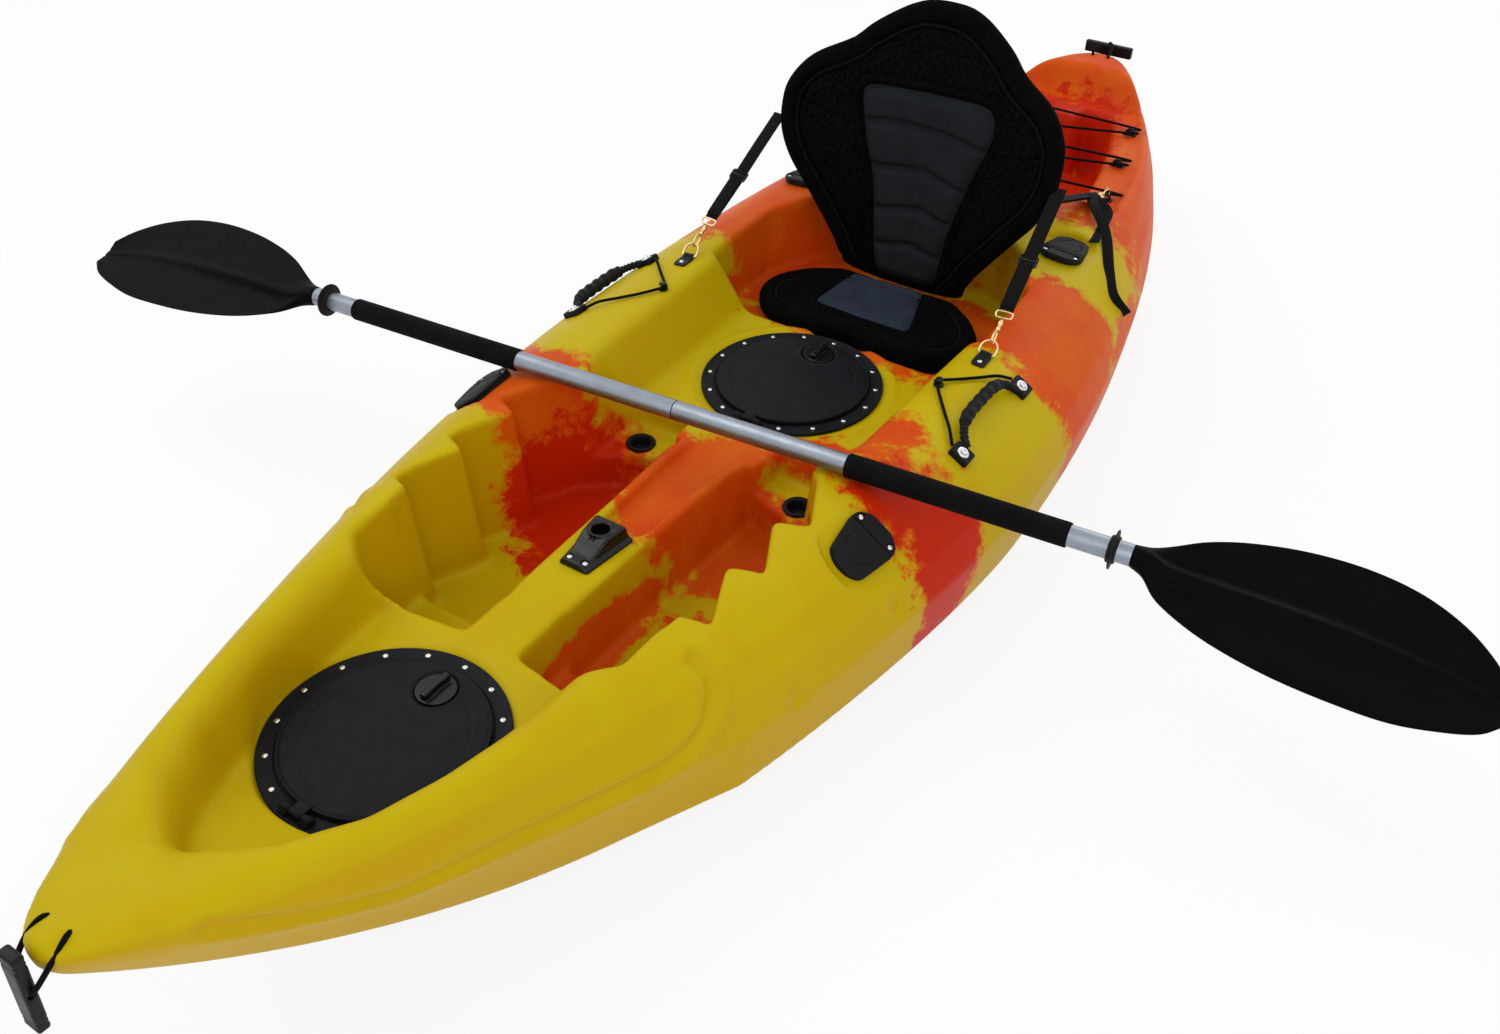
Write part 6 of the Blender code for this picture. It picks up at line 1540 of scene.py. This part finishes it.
def make_paddle(side, side_name, body):
    """One half: aluminium shaft, foam grip, drip ring and blade."""
    at = shift(*PADDLE_PLACE) @ turn_about("Z", PADDLE_HEADING)
    out = at @ turn_about("Y", 90 * side)
    profile = [(0.0, 0.0008), (0.0146, 0.0008), (SHAFT_RADIUS, 0.0014),
               (SHAFT_RADIUS, SHAFT_END - 0.001), (0.0146, SHAFT_END), (0.0, SHAFT_END)]
    shaft = revolve(f"shaft_{side_name}_fine", profile, M["alu"], out, 40, sharp=40)
    settle(shaft, body, "aluminium", f"paddle_shaft_{side_name}")
    low, high = FOAM
    sleeve = [(SHAFT_RADIUS, low), (0.0168, low), (0.0175, low + 0.002), (0.0175, high - 0.002),
              (0.0168, high), (SHAFT_RADIUS, high)]
    foam = revolve(f"foam_{side_name}", sleeve, M["foam"], out, 40, 0.0008)
    settle(foam, body, "rubber")
    cup = [(0.0152, 0.6490), (0.0178, 0.6490), (0.0185, 0.6500), (0.0190, 0.6530), (0.0262, 0.6545),
           (0.0270, 0.6555), (0.0268, 0.6568), (0.0195, 0.6575), (0.0185, 0.6602), (0.0175, 0.6610),
           (0.0152, 0.6610)]
    drip = revolve(f"drip_{side_name}_fine", cup, M["rubber"], out, 48, 0.0005)
    settle(drip, f"{side_name}_drip_ring", "rubber", f"drip_ring_{side_name}")
    if side < 0:
        ferrule = revolve("ferrule", [(0.0, -0.070), (0.0125, -0.070), (0.0132, -0.068),
                                      (0.0132, 0.0), (0.0, 0.0)], M["steel"], out, 32)
        settle(ferrule, body, "aluminium")

    dense = spline(BLADE_STATIONS, 8)
    reach = np.concatenate([np.linspace(0.0, 0.035, 8), np.linspace(0.040, BLADE_LENGTH, 62)])
    half, offset, spine = (interp(reach, dense[:, 0], dense[:, k])[:, None] for k in (1, 2, 3))
    reach = reach[:, None]
    u = np.sin(np.linspace(math.pi / 2, -math.pi / 2, 45))[None, :]
    flat = ease(reach, 0.008, 0.073)
    y = offset + u * half
    edge = sqrt(np.clip(1 - u ** 2, 0.0, 1.0))
    share = reach / BLADE_LENGTH
    ridge_half = 0.0155 - 0.010 * share
    ridge = 1 - ease(np.abs(y - offset), ridge_half * 0.45, ridge_half)
    flat_z = 0.0016 * (1 - u ** 10) + (spine - 0.0016) * ridge
    flat_z = flat_z - 0.0007 * bell(np.abs(y - offset) - ridge_half * 1.25, 0.0022)
    round_z = spine * edge
    thick = maximum(round_z + (flat_z - round_z) * flat, 0.0)
    camber = -0.006 * share ** 2 + 0.0050 * flat * (u ** 2 - 0.3)
    x = side * (SHAFT_END + 0.0003 + reach) + 0.0 * u
    upper = np.stack([x, y, camber + thick], axis=2)
    lower = np.stack([x, y, camber - thick * (1 - 0.35 * flat)], axis=2)[:, ::-1][:, 1:-1]
    rings = np.concatenate([upper, lower], axis=1)
    if side > 0:
        rings = rings[:, ::-1]
    blade = mesh_object(f"blade_{side_name}_fine", rings.reshape(-1, 3),
                        grid_faces(rings.shape[0], rings.shape[1], caps=True), M["blade"])
    blade.data.transform(at @ turn_about("X", BLADE_TURN))
    settle(blade, body, "black_plastic", f"paddle_blade_{side_name}")


# Seat
FOLD_Y = 0.367418
FOLD_Z = 0.1986
FOOT_LIMIT = 0.3782
PIPING_LIMIT = 0.3805
FOOT_SLOPE = 0.55
BACK_PIPING = 0.035
PAD_PIPING = 0.030
PIPING_RADIUS = 0.0022
SEAT_CELL = 0.0030

# Back: height and half width
BACK_PROFILE = (
    (-0.008, 0.104), (0.029, 0.130), (0.057, 0.146), (0.100, 0.177), (0.143, 0.209),
    (0.191, 0.244), (0.239, 0.265), (0.286, 0.270), (0.329, 0.262), (0.372, 0.228),
    (0.406, 0.165), (0.434, 0.133), (0.458, 0.098), (0.475, 0.067), (0.486, 0.030),
)
BACK_FEET = ((0.030, -0.090), (0.075, -0.062))
PAD_OUTLINE = (
    (0.070, 0.158), (0.125, 0.155), (0.175, 0.172), (0.205, 0.205), (0.214, 0.245),
    (0.203, 0.285), (0.172, 0.325), (0.138, 0.355), (0.118, 0.371),
)
BACK_PANEL = (
    (-0.125, 0.341), (0.122, 0.349), (0.135, 0.307), (0.117, 0.257), (0.095, 0.186),
    (0.078, 0.110), (0.070, 0.015), (-0.052, 0.012), (-0.078, 0.180), (-0.105, 0.250),
    (-0.121, 0.308),
)
CHANNELS = (
    ((-0.114, 0.282), (-0.044, 0.290), (0.046, 0.288), (0.131, 0.276)),
    ((-0.086, 0.208), (0.015, 0.220), (0.098, 0.200)),
    ((-0.066, 0.134), (0.019, 0.152), (0.079, 0.137)),
    ((-0.056, 0.070), (0.015, 0.085), (0.072, 0.072)),
)
SEAMS = (
    ((-0.125, 0.341), (-0.165, 0.415)), ((0.122, 0.349), (0.160, 0.415)),
    ((-0.110, 0.262), (-0.235, 0.300)), ((0.122, 0.268), (0.235, 0.300)),
)
PAD_INSERT = (
    (-0.099, 0.246), (-0.095, 0.230), (0.000, 0.224), (0.089, 0.226), (0.089, 0.243),
    (0.052, 0.366), (-0.087, 0.358),
)


def back_outline(foot=()):
    """Closed outline of the back in x and height; a foot carries its sides further down."""
    right = list(foot) + [(x, h) for h, x in BACK_PROFILE]
    left = [(-x, h) for x, h in reversed(right)]
    return spline(right + left, 4, loop=True)


def pad_outline():
    """Closed outline of the cushion in x and y."""
    left = [(-x, y) for x, y in reversed(PAD_OUTLINE)]
    return soften([(0.0, 0.171)] + list(PAD_OUTLINE) + left, 0.02, 3)


def back_rear(x, height):
    """Rear face of the back."""
    share = height / 0.500
    lean = 0.064 * share + 0.032 * share ** 2
    return FOLD_Y + 0.030 + lean - 0.0445 * (x / 0.26) ** 2


def seat_cloth(name, patterned):
    """Cover cloth; the attributes of the mesh say where the net and the panel lie."""
    shader = Shader(name, 0.88, specular=0.03)
    panel = shader.node("Attribute")
    panel.attribute_name = "panel"
    edge = shader.node("Attribute")
    edge.attribute_name = "edge"
    in_panel = shader.spread(panel.outputs["Fac"], -0.0008, 0.0008)
    in_net = shader.spread(edge.outputs["Fac"], 0.0336, 0.0352)
    beyond = shader.spread(panel.outputs["Fac"], -0.0165, -0.0150, 1.0, 0.0)
    in_net = shader.maths("MULTIPLY", in_net, beyond)
    net = shader.node("TexVoronoi", Vector=shader.place, Scale=180.0)
    holes = shader.spread(net.outputs["Distance"], 0.28, 0.52, 1.0, 0.0)
    weave = shader.node("TexVoronoi", Vector=shader.place, Scale=900.0).outputs["Distance"]
    cloud = shader.grain(30.0, 6.0)
    cover = shader.mix(shader.spread(cloud, 0.35, 0.75), (0.0016, 0.0016, 0.0019), NET_BLACK)
    netting = shader.mix(holes, NET_BLACK, (0.0009, 0.0009, 0.0010))
    grey = shader.clouded(patterned, 1.35, cloud, 0.3, 0.75)
    tone = shader.mix(in_net, cover, netting)
    shader.colour(shader.mix(in_panel, tone, grey))
    shader.bump(shader.maths("MULTIPLY", holes, in_net), 0.9, 0.0026)
    shader.bump(weave, 0.25, 0.0006)
    shader.bump(cloud, 0.12, 0.003)
    return shader.material


def pad_dip(y):
    """How far the cushion's rear edge lies below its top, so that the back can fold over it."""
    return 0.0040 * ease(y, 0.318, 0.358)


def nearest_line(lines, x, y):
    """Distance to the nearest of several runs."""
    nearest = line_distance(lines[0], x, y)
    for line in lines[1:]:
        nearest = minimum(nearest, line_distance(line, x, y))
    return nearest


def seat_piece(name, body, shape, low, high, material, level, side_on):
    """A padded piece, painted with where its net and its panel lie."""
    piece = field_piece(f"{name}_fine", shape, low, high, SEAT_CELL, material)
    points = np.array([tuple(v.co) for v in piece.data.vertices])
    for key, field in side_on(points).items():
        attribute = piece.data.attributes.new(key, "FLOAT", "POINT")
        attribute.data.foreach_set("value", np.asarray(field, np.float32))
    piece.data.transform(shift(0.0, 0.0, level))
    settle(piece, body, "fabric", name)


def make_back():
    """Padded back with its channels, seams and panel."""
    outline = back_outline()
    banded = back_outline(BACK_FEET)
    panel = soften(BACK_PANEL, 0.026, 4)

    def back_shape(x, y, z):
        upright = np.swapaxes(z, 1, 2)
        edge = blur(-plan_distance(outline, x, upright)[:, :, 0], 1.0)[:, None, :]
        band = -plan_distance(banded, x, upright)[:, :, 0][:, None, :]
        inside = -plan_distance(panel, x, upright)[:, :, 0][:, None, :]
        flat_x, flat_z = np.broadcast_arrays(x[:, 0, :], z[:, 0, :])
        channel = nearest_line(CHANNELS, flat_x, flat_z)[:, None, :]
        seam = nearest_line(SEAMS, flat_x, flat_z)[:, None, :]
        rear = back_rear(x, z)
        front = rear - 0.030 - 0.006 * ease(edge, 0.0, 0.09)
        front = front + 0.0055 * bell(band - BACK_PIPING, 0.0050)
        front = front - 0.0045 * bell(band - 0.018, 0.013)
        front = front + 0.0065 * bell(inside + 0.0005, 0.0045)
        front = front - 0.0070 * ease(inside, 0.0, 0.018)
        front = front + 0.0090 * bell(channel, 0.0060) * ease(inside, -0.002, 0.006)
        front = front + 0.0040 * bell(inside + 0.0175, 0.0034)
        front = front + 0.0045 * bell(seam, 0.0040) * ease(-inside, 0.015, 0.020)
        front = maximum(front, FOOT_LIMIT - FOOT_SLOPE * maximum(z, 0.0))
        rear = rear - 0.0020 * bell(edge - 0.030, 0.004)
        shell = smooth_max(front - y, y - rear, 0.006)
        return smooth_max(shell, -edge, 0.020)

    def side_on(points):
        x, y, z = points.T
        inside = -polygon_distance(panel, x, z)
        return {"edge": -polygon_distance(banded, x, z),
                "panel": np.where(y < back_rear(x, z) - 0.012, inside, -0.05)}

    seat_piece("seat_back", "seat_back", back_shape, (-0.272, 0.330, -0.010), (0.272, 0.505, 0.488),
               seat_cloth("seat_back_cloth", (0.013, 0.015, 0.018)), FOLD_Z, side_on)


def make_pad():
    """Padded cushion with its insert."""
    cushion = pad_outline()
    insert = soften(PAD_INSERT, 0.010, 3)

    def pad_shape(x, y, z):
        edge = blur(-plan_distance(cushion, x, y)[:, :, 0], 1.0)[:, :, None]
        inside = -plan_distance(insert, x, y)
        top = 0.0395 - 0.0035 * ease(edge, 0.02, 0.10)
        top = top - 0.0040 * bell(edge - PAD_PIPING, 0.0040) + 0.0030 * bell(edge - 0.015, 0.010)
        top = top - 0.0035 * bell(inside + 0.0005, 0.0034) + 0.0030 * ease(inside, 0.0, 0.02)
        top = top - pad_dip(y)
        shell = smooth_max(z - top, 0.0006 - z, 0.006)
        return smooth_max(shell, -edge, 0.018)

    def side_on(points):
        x, y, z = points.T
        return {"edge": np.zeros(len(points)),
                "panel": np.where(z > 0.030, -polygon_distance(insert, x, y), -0.05)}

    seat_piece("seat_pad", "hull", pad_shape, (-0.216, 0.152, 0.0), (0.216, 0.372, 0.042),
               seat_cloth("seat_pad_cloth", (0.025, 0.033, 0.048)), PAN_FLOOR, side_on)


def make_piping():
    """Piping round the front of the back, and round the top of the cushion."""
    seam = inner_loop(back_outline(BACK_FEET), BACK_PIPING)
    seam = np.roll(seam, -int(np.argmin(seam[:, 1])), axis=0)
    x, h = seam[seam[:, 1] > 0.002].T
    y = maximum(back_rear(x, h) - 0.0330, PIPING_LIMIT - FOOT_SLOPE * maximum(h, 0.0))
    run = np.stack([x, y, h + FOLD_Z], axis=1)
    cord = sweep("back_piping", run, circle(PIPING_RADIUS, 8), M["piping"])
    settle(cord, "seat_back", "fabric")
    x, y = inner_loop(pad_outline(), PAD_PIPING).T
    run = np.stack([x, y, PAN_FLOOR + 0.0352 - pad_dip(y)], axis=1)
    cord = sweep("pad_piping", run, circle(PIPING_RADIUS, 8), M["piping"], loop=True)
    settle(cord, "hull", "fabric")


def inner_loop(outline, inset):
    """Outline moved inwards."""
    outline = np.asarray(outline, float)
    run = np.roll(outline, -1, 0) - np.roll(outline, 1, 0)
    run /= maximum(np.linalg.norm(run, axis=1)[:, None], 1e-9)
    turn = np.stack([-run[:, 1], run[:, 0]], axis=1)
    moved = [outline + turn * inset * sign for sign in (1, -1)]
    areas = [abs(np.sum(m[:, 0] * np.roll(m[:, 1], -1) - m[:, 1] * np.roll(m[:, 0], -1)))
             for m in moved]
    inner = moved[int(areas[1] < areas[0])]
    distance = -polygon_distance(outline, inner[:, 0], inner[:, 1])
    return inner[distance > inset * 0.96]


make_camera()
make_materials()
make_studio()
make_tank_well()
make_toggles()
for SIDE, SIDE_NAME in SIDES:
    make_handle(SIDE, SIDE_NAME)
make_hull()
for HATCH in HATCHES:
    make_hatch(HATCH)
make_swivel_base()
for SIDE, SIDE_NAME in SIDES:
    make_plug(SIDE, SIDE_NAME)
    make_d_ring(SIDE, SIDE_NAME)
    make_hook("front", SIDE_NAME, *(on_side(point, SIDE) for point in FRONT_HOOK))
    make_hook("rear", SIDE_NAME, *(on_side(point, SIDE) for point in REAR_HOOK))
    make_straps(SIDE, SIDE_NAME)
    for END in ROD_HOLDERS:
        make_rod_holder(END, SIDE, SIDE_NAME)
make_paddle(-1, "starboard", "paddle")
make_paddle(1, "port", "paddle_port_half")
make_back()
make_pad()
make_piping()
